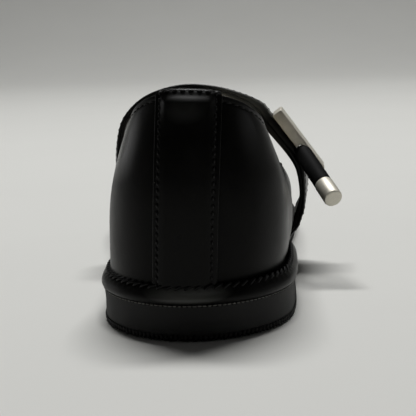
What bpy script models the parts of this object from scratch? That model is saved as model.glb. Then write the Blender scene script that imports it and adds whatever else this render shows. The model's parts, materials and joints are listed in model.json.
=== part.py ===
"""A ballet flat for the right foot, with an instep strap and a bar clasp.

Sizes are in millimetres until they become a mesh, which is in metres. X runs to the outer side of the
foot, Y to the toe and Z up. The shoe is shaped with the back of its outsole at Y = 0 and the axis of its
heel at X = 0, and an empty then puts the middle of its underside on the origin.
"""

import math
from collections import namedtuple

import bmesh
import bpy
import numpy as np

for thing in list(bpy.data.objects):
    bpy.data.objects.remove(thing)

# Driving dimensions
METRES = 0.001
FOOT_LENGTH = 246.0  # feather line, where upper and sole meet, from heel to toe
BALL_WIDTH = 75.0  # feather line across the ball
HEEL_WIDTH = 56.0  # feather line across the heel
HEEL_DEPTH = 31.0  # from the back of the heel to its widest place
BACK_HEIGHT = 73.0  # floor to collar at the back
HEEL_SEAT = 11.0  # floor to the top of the outsole at the heel
INSTEP_HEIGHT = 70.6  # floor to the top of the strap

# Gaps and walls
GAP = 0.3
WALL = 2.0
SOCK_THICKNESS = 2.2
STRIP_THICKNESS = 1.0

# Collar at the back: a half ellipse in plan that dips towards the sides
COLLAR_WIDTH = 42.5
COLLAR_DEPTH = 24.9
COLLAR_BACK = 6.5
COLLAR_DIP = 13.3
COLLAR_CURVE = 1.2  # above 1 the dip begins further from the back
COLLAR_TILT = 1.1  # the outer side is this much lower, the inner side higher
HEEL_LEAN = 1.9  # how far the top of the heel leans to the outer side
FOOT_LEAN = -1.1  # how far its foot stands to the inner side
LEAN_ENDS = (50.0, 115.0)  # the lean fades out between these places along the foot

# Sole: how far its parts stand out from the feather line
SOLE_MARGIN = 3.0
EDGE_MARGIN = 2.6
TREAD_MARGIN = 0.4
EDGE_LIFT = 1.6  # the bevel between tread and edge

# Fullness of the wall between feather line and topline
RISE, RISE_TOE = 0.35, 0.35
REACH, REACH_TOE, REACH_HEEL = 1.0, 0.63, 5.3
DROP, DROP_TOE = 0.486, 0.15
OUTER_HOLLOW = 2.2  # the outer quarter is this much flatter below the collar
OUTER_SWELL = 0.6  # and this much fuller above the rand

HEEL_ANGLES = (22.5, 45.0, 67.5, 90.0)
COLUMNS_PER_RIB = 3
WALL_ROWS = (0.0, 0.08, 0.18, 0.3, 0.44, 0.58, 0.72, 0.87, 1.0)
SOLE_RUNGS = 6

# Ribs of the last beyond the heel. Places along are shares of the foot's length, sides are shares of the
# ball width from the heel axis, and the height is a share of the back height. Swell is in millimetres.
Rib = namedtuple("Rib", "foot_along foot_outer foot_inner top_along top_outer top_inner top_height swell")
RIBS = (
    Rib(0.191, 0.376, 0.376, 0.185, 0.331, 0.306, 0.618, 0.9),
    Rib(0.293, 0.364, 0.383, 0.289, 0.341, 0.336, 0.585, 2.1),
    Rib(0.394, 0.337, 0.413, 0.390, 0.317, 0.380, 0.515, 3.0),
    Rib(0.496, 0.343, 0.487, 0.484, 0.309, 0.443, 0.505, 3.6),
    Rib(0.589, 0.363, 0.573, 0.569, 0.280, 0.491, 0.528, 4.2),
    Rib(0.659, 0.371, 0.620, 0.626, 0.213, 0.473, 0.551, 4.2),
    Rib(0.736, 0.355, 0.635, 0.665, 0.120, 0.414, 0.570, 3.6),
    Rib(0.813, 0.313, 0.622, 0.685, 0.029, 0.342, 0.584, 2.8),
    Rib(0.890, 0.229, 0.569, 0.694, -0.047, 0.270, 0.592, 2.0),
    Rib(0.947, 0.118, 0.480, 0.697, -0.096, 0.221, 0.595, 1.6),
    Rib(0.985, -0.022, 0.352, 0.698, -0.131, 0.189, 0.597, 1.3),
)
TOE = Rib(1.0, -0.190, 0.190, 0.698, -0.160, 0.160, 0.597, 1.2)
HEEL_SWELL = 0.8

# Side view of the sole: place along from the heel, underside and top, in millimetres
Level = namedtuple("Level", "along underside top")
LEVELS = (
    Level(0.0, 0.0, HEEL_SEAT),
    Level(56.0, 0.0, HEEL_SEAT),
    Level(66.0, 0.0, 10.8),
    Level(76.0, 2.8, 10.2),
    Level(104.0, 3.0, 8.2),
    Level(136.0, 0.0, 6.9),
    Level(160.0, 0.0, 6.4),
    Level(188.0, 0.0, 6.5),
    Level(215.0, 1.6, 7.9),
    Level(240.0, 4.9, 10.4),
    Level(253.0, 7.2, 12.4),
)

# Section of the rolled rand: how far out from the feather line, and height above the sole
Bead = namedtuple("Bead", "out height")
RAND_SECTION = (
    Bead(3.0, 0.0),
    Bead(3.6, 1.0),
    Bead(3.8, 2.5),
    Bead(3.5, 4.0),
    Bead(2.7, 5.2),
    Bead(1.8, 5.7),
)
RAND_INNER_HEIGHTS = (5.3, 2.6, 0.0)
RAND_TAPER = (60.0, 88.0)  # the bead gets lower between these places along the foot
RAND_LOW = 0.5  # share of its height that is left in front of them

# Heel strip, which leans from the inner side to the outer side as it rises
STRIP_WIDTH = 18.8
STRIP_CENTRE_BOTTOM = -1.8
STRIP_CENTRE_TOP = 1.3
STRIP_COLUMNS = 9
STRIP_ROWS = (0.092, 0.22, 0.38, 0.54, 0.7, 0.85, 1.0)
STRIP_TURNED_IN = (1.0, 0.93, 0.86)
RIM_LIFT = 0.8  # rounding of the topline edge

# Strap: outer face along its rear edge, from the inner base over the instep to the outer base.
# Turn and droop say how far the front edge stands out and down for each unit of width, and flare how
# far the rear edge sweeps back.
Band = namedtuple("Band", "side height thickness turn droop flare", defaults=(0.0,))
STRAP = (
    Band(-34.4, 12.8, 2.3, -0.22, 0.06),
    Band(-35.6, 25.0, 2.3, -0.22, 0.0),
    Band(-36.2, 38.0, 2.3, -0.20, 0.0),
    Band(-35.7, 49.3, 2.3, -0.14, 0.06),
    Band(-32.8, 58.8, 2.3, -0.08, 0.14),
    Band(-24.3, 66.7, 2.3, 0.0, 0.24),
    Band(-11.0, INSTEP_HEIGHT, 2.4, 0.0, 0.28),
    Band(2.0, 69.8, 2.4, 0.0, 0.26),
    Band(12.8, 66.5, 3.6, 0.0, 0.16),
    Band(19.4, 62.7, 4.8, 0.0, 0.06),
    Band(23.1, 57.6, 4.9, 0.0, 0.0),
    Band(27.6, 51.3, 4.3, 0.0, 0.0),
    Band(32.2, 44.9, 4.0, 0.0, 0.0),
    Band(34.6, 39.4, 3.4, 0.04, 0.0),
    Band(35.2, 33.4, 2.6, 0.10, 0.0),
    Band(35.2, 27.0, 2.2, 0.06, 0.0, 0.2),
    Band(34.7, 21.6, 3.0, 0.0, 0.0, 1.2),
    Band(33.8, 19.3, 3.0, 0.0, 0.02, 3.0),
    Band(32.4, 16.0, 2.6, 0.0, 0.05, 5.0),
    Band(29.8, 13.4, 1.8, 0.0, 0.08, 7.0),
)
STRAP_REAR = 95.5
STRAP_WIDTH = 15.0
STRAP_CORNER = 0.5
STRAP_STEPS = 3

# Clasp: a stepped plate on the strap and a bar that leaves the plate's rear side
PLATE_START = (23.1, 57.6)
PLATE_END = (32.2, 44.9)
PLATE_LENGTH = 27.7
BLOCK_LENGTH = 15.1
BLOCK_THICKNESS = 4.1
LIP_THICKNESS = 2.0
PLATE_WIDTH = 15.6
PLATE_BEVEL = 0.7
PLATE_LIFT = 0.4
BAR_RADIUS = 3.3
BAR_START = (35.1, 94.9, 42.9)
BAR_END = (45.0, 70.0, 30.3)
CAP_LENGTH = 9.3
CAP_EDGE = 0.5
BAR_SIDES = 24

# Finishes: colour, roughness and metallic value
Finish = namedtuple("Finish", "colour roughness metallic")
BLACK_LEATHER = Finish((0.012, 0.012, 0.011), 0.38, 0.0)
BLACK_RUBBER = Finish((0.016, 0.016, 0.016), 0.75, 0.0)
PALE_LEATHER = Finish((0.62, 0.57, 0.48), 0.6, 0.0)
SATIN_NICKEL = Finish((0.62, 0.59, 0.51), 0.32, 1.0)

shoe = bpy.data.objects.new("shoe", None)
bpy.context.collection.objects.link(shoe)


def along_foot(share):
    return SOLE_MARGIN + share * FOOT_LENGTH


def heel_arc(angle, width, depth, back):
    """A point of a half ellipse round the heel, on the outer side."""
    return width / 2 * math.sin(angle), back + depth * (1 - math.cos(angle))


def rib_columns():
    """Feather point, topline point and swell of every rib, once round the shoe from the back of the heel."""
    outer, inner = [], []
    for degrees in HEEL_ANGLES:
        angle = math.radians(degrees)
        foot_x, foot_y = heel_arc(angle, HEEL_WIDTH, HEEL_DEPTH, SOLE_MARGIN)
        top_x, top_y = heel_arc(angle, COLLAR_WIDTH, COLLAR_DEPTH, COLLAR_BACK)
        top_z = BACK_HEIGHT - COLLAR_DIP * (1 - math.cos(angle)) ** COLLAR_CURVE
        tilt = COLLAR_TILT * math.sin(angle)
        outer.append((foot_x, foot_y, top_x, top_y, top_z - tilt, HEEL_SWELL))
        inner.append((-foot_x, foot_y, -top_x, top_y, top_z + tilt, HEEL_SWELL))
    for rib in RIBS:
        foot_y = along_foot(rib.foot_along)
        top_y = along_foot(rib.top_along)
        top_z = rib.top_height * BACK_HEIGHT
        outer.append((rib.foot_outer * BALL_WIDTH, foot_y, rib.top_outer * BALL_WIDTH, top_y, top_z, rib.swell))
        inner.append((-rib.foot_inner * BALL_WIDTH, foot_y, -rib.top_inner * BALL_WIDTH, top_y, top_z, rib.swell))
    back = (0.0, SOLE_MARGIN, 0.0, COLLAR_BACK, BACK_HEIGHT, HEEL_SWELL)
    toe = (
        TOE.foot_outer * BALL_WIDTH,
        along_foot(TOE.foot_along),
        TOE.top_outer * BALL_WIDTH,
        along_foot(TOE.top_along),
        TOE.top_height * BACK_HEIGHT,
        TOE.swell,
    )
    return np.array([back, *outer, toe, *reversed(inner)])


RIB_TABLE = rib_columns()
COLUMNS = len(RIB_TABLE) * COLUMNS_PER_RIB
RING = np.arange(COLUMNS) / COLUMNS_PER_RIB


def through(before, start, end, after, share):
    """A smooth curve from start to end that heads for the points on either side of them."""
    share = share[..., None]
    bend = 2 * before - 5 * start + 4 * end - after
    twist = 3 * start - before - 3 * end + after
    return start + share / 2 * (end - before + share * (bend + share * twist))


def on_ring(place):
    """The rib table read at any place round the shoe, counted in ribs."""
    rib = np.floor(place).astype(int)
    count = len(RIB_TABLE)
    rows = [RIB_TABLE[(rib + step) % count] for step in (-1, 0, 1, 2)]
    return through(*rows, place - rib)


def on_path(table, steps):
    """An open table read at this many steps between its rows."""
    table = np.array(table, float)
    padded = np.vstack([2 * table[0] - table[1], table, 2 * table[-1] - table[-2]])
    place = np.arange((len(table) - 1) * steps + 1) / steps
    row = np.minimum(np.floor(place).astype(int), len(table) - 2)
    rows = [padded[row + step] for step in range(4)]
    return through(*rows, place - row)


def level(column, along):
    """Height of the sole's underside or top at places along the foot."""
    places = [row.along for row in LEVELS]
    heights = [getattr(row, column) for row in LEVELS]
    return np.interp(along, places, heights)


def feather(place):
    """Feather points in plan, and the directions that lead straight out from them."""
    step = 0.05
    ends = on_ring(place + step)[..., :2] - on_ring(place - step)[..., :2]
    out = np.stack([ends[..., 1], -ends[..., 0]], axis=-1)
    return on_ring(place)[..., :2], out / np.linalg.norm(out, axis=-1, keepdims=True)


def leaning(amount, along):
    """A sideways shift of the heel, which fades out along the foot."""
    shift = amount * np.interp(along, LEAN_ENDS, (1, 0))
    return np.stack([shift, 0 * shift, 0 * shift], axis=-1)


def wall(place, height):
    """Outer surface of the upper: height runs from 0 at the feather line to 1 at the topline."""
    foot, out = feather(place)
    row = on_ring(place)
    base = level("top", foot[..., 1]) + GAP
    top = row[..., 2:4]
    tall = row[..., 4] - base
    deep = np.sum((foot - top) * out, axis=-1)
    laid_back = np.clip(deep / (deep + tall), 0, 1)
    upright = 1 - laid_back
    lean = leaning(HEEL_LEAN, foot[..., 1])
    outer = np.clip(out[..., 0], 0, 1) * np.interp(foot[..., 1], LEAN_ENDS, (1, 0))

    def point(plan, outwards, level_z):
        return np.concatenate([plan + outwards[..., None] * out, level_z[..., None]], axis=-1)

    rise = tall * (RISE + RISE_TOE * laid_back)
    reach = deep * (REACH - REACH_TOE * laid_back) + (REACH_HEEL - OUTER_HOLLOW * outer) * upright
    drop = tall * (DROP * upright**1.5 + DROP_TOE * laid_back)
    start = point(foot, 0 * deep, base) + leaning(FOOT_LEAN, foot[..., 1])
    low = point(foot, (row[..., 5] + OUTER_SWELL * outer) * upright**0.5, base + rise) + lean / 2
    high = point(top, reach, row[..., 4] - drop) + lean
    end = point(top, 0 * deep, row[..., 4]) + lean
    t = height[..., None]
    return (1 - t) ** 3 * start + 3 * t * (1 - t) ** 2 * low + 3 * t**2 * (1 - t) * high + t**3 * end


def wall_frame(place, height):
    """Point, outward direction and upward direction on the outer surface of the upper."""
    step = 0.02
    below = np.clip(height - step, 0, 1)
    above = np.clip(height + step, 0, 1)
    round_the_shoe = wall(place + step, height) - wall(place - step, height)
    upwards = wall(place, above) - wall(place, below)
    outwards = np.cross(round_the_shoe, upwards)
    upwards = upwards / np.linalg.norm(upwards, axis=-1, keepdims=True)
    outwards = outwards / np.linalg.norm(outwards, axis=-1, keepdims=True)
    return wall(place, height), outwards, upwards


def skin(place, height, out, lift=0.0):
    """A surface that keeps this far out from the upper's outer face, lifted past the topline if asked."""
    point, outwards, upwards = wall_frame(place, height)
    return point + out * outwards + lift * upwards


def plan_ring(margin, column, lift):
    """The feather line moved out by a margin, at a level of the sole."""
    foot, out = feather(RING)
    plan = foot + margin * out
    return np.column_stack([plan, level(column, plan[:, 1]) + lift])


def add_object(name, mesh_builder, finish):
    """Closes the built mesh, turns its faces outwards and hangs it on the shoe."""
    bmesh.ops.recalc_face_normals(mesh_builder, faces=mesh_builder.faces)
    bmesh.ops.scale(mesh_builder, vec=(METRES,) * 3, verts=mesh_builder.verts)
    mesh = bpy.data.meshes.new(name)
    mesh_builder.to_mesh(mesh)
    mesh_builder.free()
    mesh.shade_smooth()
    mesh.set_sharp_from_angle(angle=math.radians(40))
    thing = bpy.data.objects.new(name, mesh)
    bpy.context.collection.objects.link(thing)
    thing.parent = shoe
    material = bpy.data.materials.new(name)
    material.use_nodes = True
    shader = material.node_tree.nodes["Principled BSDF"]
    shader.inputs["Base Color"].default_value = (*finish.colour, 1.0)
    shader.inputs["Roughness"].default_value = finish.roughness
    shader.inputs["Metallic"].default_value = finish.metallic
    mesh.materials.append(material)
    return thing


def add_points(builder, points):
    return [builder.verts.new(point) for point in points]


def join_rows(builder, first, second, closed):
    """Quads between two rows of points, round a ring or along a strip."""
    count = len(first)
    for near in range(count if closed else count - 1):
        far = (near + 1) % count
        builder.faces.new((first[near], first[far], second[far], second[near]))


def join_loop_of_rows(builder, rows, closed):
    """Joins each row to the next and the last to the first, as round a tube."""
    for number, row in enumerate(rows):
        join_rows(builder, row, rows[(number + 1) % len(rows)], closed)


def cover_ring(builder, ring, surface):
    """Fills a ring with rungs from its outer side to its inner side, on a surface z = surface(y)."""
    half = len(ring) // 2
    rungs = [[ring[0]] * (SOLE_RUNGS + 1)]
    for near in range(1, half):
        start, end = ring[near], ring[-near]
        rung = [start]
        for step in range(1, SOLE_RUNGS):
            point = start.co.lerp(end.co, step / SOLE_RUNGS)
            rung.append(builder.verts.new((point.x, point.y, surface(point.y))))
        rungs.append(rung + [end])
    rungs.append([ring[half]] * (SOLE_RUNGS + 1))
    for first, second in zip(rungs, rungs[1:]):
        for step in range(SOLE_RUNGS):
            corners = (first[step], first[step + 1], second[step + 1], second[step])
            builder.faces.new(list(dict.fromkeys(corners)))


def stacked_plate(name, rings, underside, top, finish):
    """A plate with the foot's outline: rings from the bottom up, covered below and above."""
    builder = bmesh.new()
    rows = [add_points(builder, ring) for ring in rings]
    for lower, upper in zip(rows, rows[1:]):
        join_rows(builder, lower, upper, closed=True)
    cover_ring(builder, rows[0], underside)
    cover_ring(builder, rows[-1], top)
    return add_object(name, builder, finish)


def make_outsole():
    rings = (
        plan_ring(TREAD_MARGIN, "underside", 0.0),
        plan_ring(EDGE_MARGIN, "underside", EDGE_LIFT),
        plan_ring(SOLE_MARGIN, "top", 0.0),
    )

    def underside(along):
        return level("underside", along)

    def top(along):
        return level("top", along)

    return stacked_plate("outsole", rings, underside, top, BLACK_RUBBER)


def make_sock():
    inset = -(WALL + GAP + 0.2)
    rings = [plan_ring(inset, "top", lift) for lift in (GAP, GAP + SOCK_THICKNESS)]
    rings = [ring + leaning(FOOT_LEAN, ring[:, 1]) for ring in rings]

    def underside(along):
        return level("top", along) + GAP

    def top(along):
        return level("top", along) + GAP + SOCK_THICKNESS

    return stacked_plate("sock", rings, underside, top, PALE_LEATHER)


def make_upper():
    """One hollow wall round the foot, open at the topline and underneath."""
    outer, inner = [], []
    for height in WALL_ROWS:
        row = np.full(COLUMNS, height)
        outer.append(skin(RING, row, 0.0))
        inner.append(skin(RING, row, -WALL))
    inner[0][:, 2] = outer[0][:, 2]
    rim = skin(RING, np.ones(COLUMNS), -WALL / 2, RIM_LIFT)
    builder = bmesh.new()
    rows = [add_points(builder, ring) for ring in (*outer, rim, *reversed(inner))]
    join_loop_of_rows(builder, rows, closed=True)
    return add_object("upper", builder, BLACK_LEATHER)


def wall_at(heights_above_sole):
    """Places on the upper's outer face at these heights above the sole, all round the shoe."""
    shares = np.linspace(0, 0.6, 25)
    trial = wall(RING[:, None] + 0 * shares, shares + 0 * RING[:, None])
    base = trial[:, :1, 2]
    rises = zip(heights_above_sole, trial[..., 2] - base)
    found = [np.interp(height, rise, shares) for height, rise in rises]
    return wall(RING, np.array(found))


def make_rand():
    """A rolled bead that lies on the sole's edge, against the foot of the upper."""
    foot, out = feather(RING)
    share = np.interp(foot[:, 1], RAND_TAPER, (1.0, RAND_LOW))
    rings = [plan_ring(bead.out, "top", GAP + bead.height * share) for bead in RAND_SECTION]
    for height in RAND_INNER_HEIGHTS:
        ring = wall_at(height * share)
        ring[:, :2] += GAP * out
        rings.append(ring)
    builder = bmesh.new()
    rows = [add_points(builder, ring) for ring in rings]
    join_loop_of_rows(builder, rows, closed=True)
    return add_object("rand", builder, BLACK_LEATHER)


def make_heel_strip():
    """A strip over the back seam that folds over the collar to the inside."""
    across = np.linspace(-1, 1, STRIP_COLUMNS)

    def strip_row(height, out, lift=0.0):
        centre = STRIP_CENTRE_BOTTOM + (STRIP_CENTRE_TOP - STRIP_CENTRE_BOTTOM) * height
        trial = np.linspace(-2, 2, 81)
        sides = wall(trial, np.full(len(trial), height))[:, 0]
        place = np.interp(centre + STRIP_WIDTH / 2 * across, sides, trial)
        return skin(place, np.full(STRIP_COLUMNS, height), out, lift)

    def fold(clearance):
        outside = [strip_row(height, clearance) for height in STRIP_ROWS]
        over = [
            strip_row(1.0, clearance - 0.3 * WALL, RIM_LIFT * 0.7 + clearance),
            strip_row(1.0, -0.7 * WALL - clearance, RIM_LIFT * 0.7 + clearance),
        ]
        inside = [strip_row(height, -WALL - clearance) for height in STRIP_TURNED_IN]
        return outside + over + inside

    builder = bmesh.new()
    near = [add_points(builder, row) for row in fold(GAP)]
    far = [add_points(builder, row) for row in fold(GAP + STRIP_THICKNESS)]
    join_loop_of_rows(builder, near + far[::-1], closed=False)
    for side in (0, -1):
        for number in range(len(near) - 1):
            corners = (near[number], near[number + 1], far[number + 1], far[number])
            builder.faces.new([row[side] for row in corners])
    return add_object("heel_strip", builder, BLACK_LEATHER)


def unit(vector):
    vector = np.asarray(vector, float)
    return vector / np.linalg.norm(vector, axis=-1, keepdims=True)


def make_strap():
    """A flat band that rises from the rand, crosses the instep and comes down to the rand again."""
    path = on_path(STRAP, STRAP_STEPS)
    side, height, thickness, turn, droop, flare = path.T
    rear = np.column_stack([side, STRAP_REAR - flare, height])
    heading = unit(np.gradient(rear, axis=0))
    width = unit(np.column_stack([turn, np.ones(len(side)), -droop])) * (STRAP_WIDTH + flare)[:, None]
    outwards = unit(np.cross(heading, width))
    corner = STRAP_CORNER
    edge = corner / STRAP_WIDTH
    builder = bmesh.new()
    sections = []
    for number, start in enumerate(rear):
        deep = thickness[number]
        section = (
            (edge, 0.0),
            (1 - edge, 0.0),
            (1.0, corner),
            (1.0, deep - corner),
            (1 - edge, deep),
            (edge, deep),
            (0.0, deep - corner),
            (0.0, corner),
        )
        points = [start + share * width[number] - inwards * outwards[number] for share, inwards in section]
        sections.append(add_points(builder, points))
    for first, second in zip(sections, sections[1:]):
        join_rows(builder, first, second, closed=True)
    builder.faces.new(sections[0])
    builder.faces.new(sections[-1])
    return add_object("strap", builder, BLACK_LEATHER)


def make_plate():
    """A stepped metal plate: a thick block on the strap, then a thinner lip level with its outer face."""
    start = np.array(PLATE_START)
    down = unit(np.array(PLATE_END) - start)
    outwards = np.array([-down[1], down[0]])
    profile = (
        (0.0, 0.0),
        (BLOCK_LENGTH, 0.0),
        (BLOCK_LENGTH, BLOCK_THICKNESS - LIP_THICKNESS),
        (PLATE_LENGTH, BLOCK_THICKNESS - LIP_THICKNESS),
        (PLATE_LENGTH, BLOCK_THICKNESS),
        (0.0, BLOCK_THICKNESS),
    )
    rear = STRAP_REAR - (PLATE_WIDTH - STRAP_WIDTH) / 2
    builder = bmesh.new()
    loops = []
    for along in (rear, rear + PLATE_WIDTH):
        places = [start + step * down + (rise + PLATE_LIFT) * outwards for step, rise in profile]
        loops.append(add_points(builder, [(x, along, z) for x, z in places]))
    join_rows(builder, *loops, closed=True)
    builder.faces.new(loops[0])
    builder.faces.new(loops[1])
    plate = add_object("clasp_plate", builder, SATIN_NICKEL)
    bevel = plate.modifiers.new("rounded_edges", "BEVEL")
    bevel.width = PLATE_BEVEL * METRES
    bevel.segments = 2
    return plate


def bar_rings(stations):
    """Round sections along the bar, from (place along, radius) pairs."""
    start, end = np.array(BAR_START), np.array(BAR_END)
    axis = unit(end - start)
    sideways = unit(np.cross(axis, (0.0, 0.0, 1.0)))
    upwards = np.cross(sideways, axis)
    angles = np.arange(BAR_SIDES) * 2 * math.pi / BAR_SIDES
    spokes = np.outer(np.cos(angles), sideways) + np.outer(np.sin(angles), upwards)
    return axis, [start + place * axis + radius * spokes for place, radius in stations]


def add_round(name, rings, finish):
    builder = bmesh.new()
    rows = [add_points(builder, ring) for ring in rings]
    for first, second in zip(rows, rows[1:]):
        join_rows(builder, first, second, closed=True)
    builder.faces.new(rows[0])
    builder.faces.new(rows[-1])
    return add_object(name, builder, finish)


BAR_LENGTH = math.dist(BAR_START, BAR_END)


def make_bar():
    """A round bar whose front end lies flat against the plate's rear side."""
    axis, rings = bar_rings(((0.0, BAR_RADIUS), (BAR_LENGTH - CAP_LENGTH - GAP, BAR_RADIUS)))
    front = rings[0]
    front += np.outer((BAR_START[1] - front[:, 1]) / axis[1], axis)
    return add_round("clasp_bar", rings, BLACK_LEATHER)


def make_cap():
    stations = (
        (BAR_LENGTH - CAP_LENGTH, BAR_RADIUS),
        (BAR_LENGTH - CAP_EDGE, BAR_RADIUS),
        (BAR_LENGTH, BAR_RADIUS - CAP_EDGE),
    )
    return add_round("bar_cap", bar_rings(stations)[1], SATIN_NICKEL)


PIECES = (
    make_outsole(),
    make_sock(),
    make_upper(),
    make_rand(),
    make_heel_strip(),
    make_strap(),
    make_plate(),
    make_bar(),
    make_cap(),
)


def centre_shoe():
    """Moves the shoe so that the middle of its underside is at the origin."""
    points = np.array([vertex.co for piece in PIECES for vertex in piece.data.vertices])
    lowest, highest = points.min(axis=0), points.max(axis=0)
    middle = (lowest + highest) / 2
    shoe.location = (-middle[0], -middle[1], -lowest[2])


centre_shoe()
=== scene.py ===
"""Looks of a ballet flat for the right foot, with an instep strap and a bar clasp.

Sizes are in millimetres until they become a mesh, which is in metres. X runs to the outer side of the
foot, Y to the toe and Z up. Shapes are worked out with the back of the outsole at Y = 0 and the axis of
its heel at X = 0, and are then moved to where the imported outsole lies.
"""

import json
import math
from collections import namedtuple

import bmesh
import bpy
import numpy as np
from mathutils import Matrix, Vector


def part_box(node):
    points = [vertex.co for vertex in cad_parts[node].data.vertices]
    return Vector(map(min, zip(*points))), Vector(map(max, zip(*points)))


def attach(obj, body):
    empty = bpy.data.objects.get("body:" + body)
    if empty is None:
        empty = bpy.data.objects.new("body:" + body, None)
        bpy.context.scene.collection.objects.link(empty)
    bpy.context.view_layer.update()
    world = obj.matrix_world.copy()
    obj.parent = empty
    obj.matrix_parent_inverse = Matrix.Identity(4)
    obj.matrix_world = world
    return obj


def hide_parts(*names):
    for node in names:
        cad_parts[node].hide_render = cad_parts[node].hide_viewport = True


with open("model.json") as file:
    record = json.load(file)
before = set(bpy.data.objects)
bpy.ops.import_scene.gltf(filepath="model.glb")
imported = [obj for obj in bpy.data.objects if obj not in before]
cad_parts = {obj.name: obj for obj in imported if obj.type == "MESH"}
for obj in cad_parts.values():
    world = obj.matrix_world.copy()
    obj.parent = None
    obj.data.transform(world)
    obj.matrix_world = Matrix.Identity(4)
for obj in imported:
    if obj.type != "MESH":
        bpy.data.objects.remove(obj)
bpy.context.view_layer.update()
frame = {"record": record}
BODY = "root"
SLOT_COLOURS = {row["slot"]: row["base_color"] for row in frame["record"]["materials"]}

# Driving dimensions, as in the solids
METRES = 0.001
FOOT_LENGTH = 246.0  # feather line, where upper and sole meet, from heel to toe
BALL_WIDTH = 75.0  # feather line across the ball
HEEL_WIDTH = 56.0  # feather line across the heel
HEEL_DEPTH = 31.0  # from the back of the heel to its widest place
BACK_HEIGHT = 73.0  # floor to collar at the back
HEEL_SEAT = 11.0  # floor to the top of the outsole at the heel
INSTEP_HEIGHT = 70.6  # floor to the top of the strap
GAP = 0.3  # room between pieces that lie on each other
WALL = 2.0  # thickness of the upper, with its lining
SOCK_THICKNESS = 2.2
RIM_LIFT = 0.8  # rounding of the topline edge

# Collar at the back: a half ellipse in plan that dips towards the sides
COLLAR_WIDTH = 42.5
COLLAR_DEPTH = 24.9
COLLAR_BACK = 6.5
COLLAR_DIP = 13.3
COLLAR_CURVE = 1.2  # above 1 the dip begins further from the back
COLLAR_TILT = 1.1  # the outer side is this much lower, the inner side higher
HEEL_LEAN = 1.9  # how far the top of the heel leans to the outer side
FOOT_LEAN = -1.1  # how far its foot stands to the inner side
LEAN_ENDS = (50.0, 115.0)  # the lean fades out between these places along the foot

# Sole: how far its parts stand out from the feather line
SOLE_MARGIN = 3.0
EDGE_MARGIN = 2.6
TREAD_MARGIN = 0.4
EDGE_LIFT = 1.6  # the bevel between tread and edge

# Fullness of the wall between feather line and topline
RISE, RISE_TOE = 0.35, 0.35
REACH, REACH_TOE, REACH_HEEL = 1.0, 0.63, 5.3
DROP, DROP_TOE = 0.486, 0.15
OUTER_HOLLOW = 2.2  # the outer quarter is this much flatter below the collar
OUTER_SWELL = 0.6  # and this much fuller above the rand
HEEL_ANGLES = (22.5, 45.0, 67.5, 90.0)
HEEL_SWELL = 0.8

# Ribs of the last beyond the heel. Places along are shares of the foot's length, sides are shares of the
# ball width from the heel axis, and the height is a share of the back height. Swell is in millimetres.
Rib = namedtuple("Rib", "foot_along foot_outer foot_inner top_along top_outer top_inner top_height swell")
RIBS = (
    Rib(0.191, 0.376, 0.376, 0.185, 0.331, 0.306, 0.618, 0.9),
    Rib(0.293, 0.364, 0.383, 0.289, 0.341, 0.336, 0.585, 2.1),
    Rib(0.394, 0.337, 0.413, 0.390, 0.317, 0.380, 0.515, 3.0),
    Rib(0.496, 0.343, 0.487, 0.484, 0.309, 0.443, 0.505, 3.6),
    Rib(0.589, 0.363, 0.573, 0.569, 0.280, 0.491, 0.528, 4.2),
    Rib(0.659, 0.371, 0.620, 0.626, 0.213, 0.473, 0.551, 4.2),
    Rib(0.736, 0.355, 0.635, 0.665, 0.120, 0.414, 0.570, 3.6),
    Rib(0.813, 0.313, 0.622, 0.685, 0.029, 0.342, 0.584, 2.8),
    Rib(0.890, 0.229, 0.569, 0.694, -0.047, 0.270, 0.592, 2.0),
    Rib(0.947, 0.118, 0.480, 0.697, -0.096, 0.221, 0.595, 1.6),
    Rib(0.985, -0.022, 0.352, 0.698, -0.131, 0.189, 0.597, 1.3),
)
TOE = Rib(1.0, -0.190, 0.190, 0.698, -0.160, 0.160, 0.597, 1.2)

# Side view of the sole: place along from the heel, underside and top
Level = namedtuple("Level", "along underside top")
LEVELS = (
    Level(0.0, 0.0, HEEL_SEAT),
    Level(56.0, 0.0, HEEL_SEAT),
    Level(66.0, 0.0, 10.8),
    Level(76.0, 2.8, 10.2),
    Level(104.0, 3.0, 8.2),
    Level(136.0, 0.0, 6.9),
    Level(160.0, 0.0, 6.4),
    Level(188.0, 0.0, 6.5),
    Level(215.0, 1.6, 7.9),
    Level(240.0, 4.9, 10.4),
    Level(253.0, 7.2, 12.4),
)

# Strap: outer face along its rear edge, from the inner base over the instep to the outer base.
# Turn and droop say how far the front edge stands out and down for each unit of width, and flare how
# far the rear edge sweeps back.
Band = namedtuple("Band", "side height thickness turn droop flare", defaults=(0.0,))
STRAP = (
    Band(-34.4, 12.8, 2.3, -0.22, 0.06),
    Band(-35.6, 25.0, 2.3, -0.22, 0.0),
    Band(-36.2, 38.0, 2.3, -0.20, 0.0),
    Band(-35.7, 49.3, 2.3, -0.14, 0.06),
    Band(-32.8, 58.8, 2.3, -0.08, 0.14),
    Band(-24.3, 66.7, 2.3, 0.0, 0.24),
    Band(-11.0, INSTEP_HEIGHT, 2.4, 0.0, 0.28),
    Band(2.0, 69.8, 2.4, 0.0, 0.26),
    Band(12.8, 66.5, 3.6, 0.0, 0.16),
    Band(19.4, 62.7, 4.8, 0.0, 0.06),
    Band(23.1, 57.6, 4.9, 0.0, 0.0),
    Band(27.6, 51.3, 4.3, 0.0, 0.0),
    Band(32.2, 44.9, 4.0, 0.0, 0.0),
    Band(34.6, 39.4, 3.4, 0.04, 0.0),
    Band(35.2, 33.4, 2.6, 0.10, 0.0),
    Band(35.2, 27.0, 2.2, 0.06, 0.0, 0.2),
    Band(34.7, 21.6, 3.0, 0.0, 0.0, 1.2),
    Band(33.8, 19.3, 3.0, 0.0, 0.02, 3.0),
    Band(32.4, 16.0, 2.6, 0.0, 0.05, 5.0),
    Band(29.8, 13.4, 1.8, 0.0, 0.08, 7.0),
)
STRAP_REAR = 95.5
STRAP_WIDTH = 15.0

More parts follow.
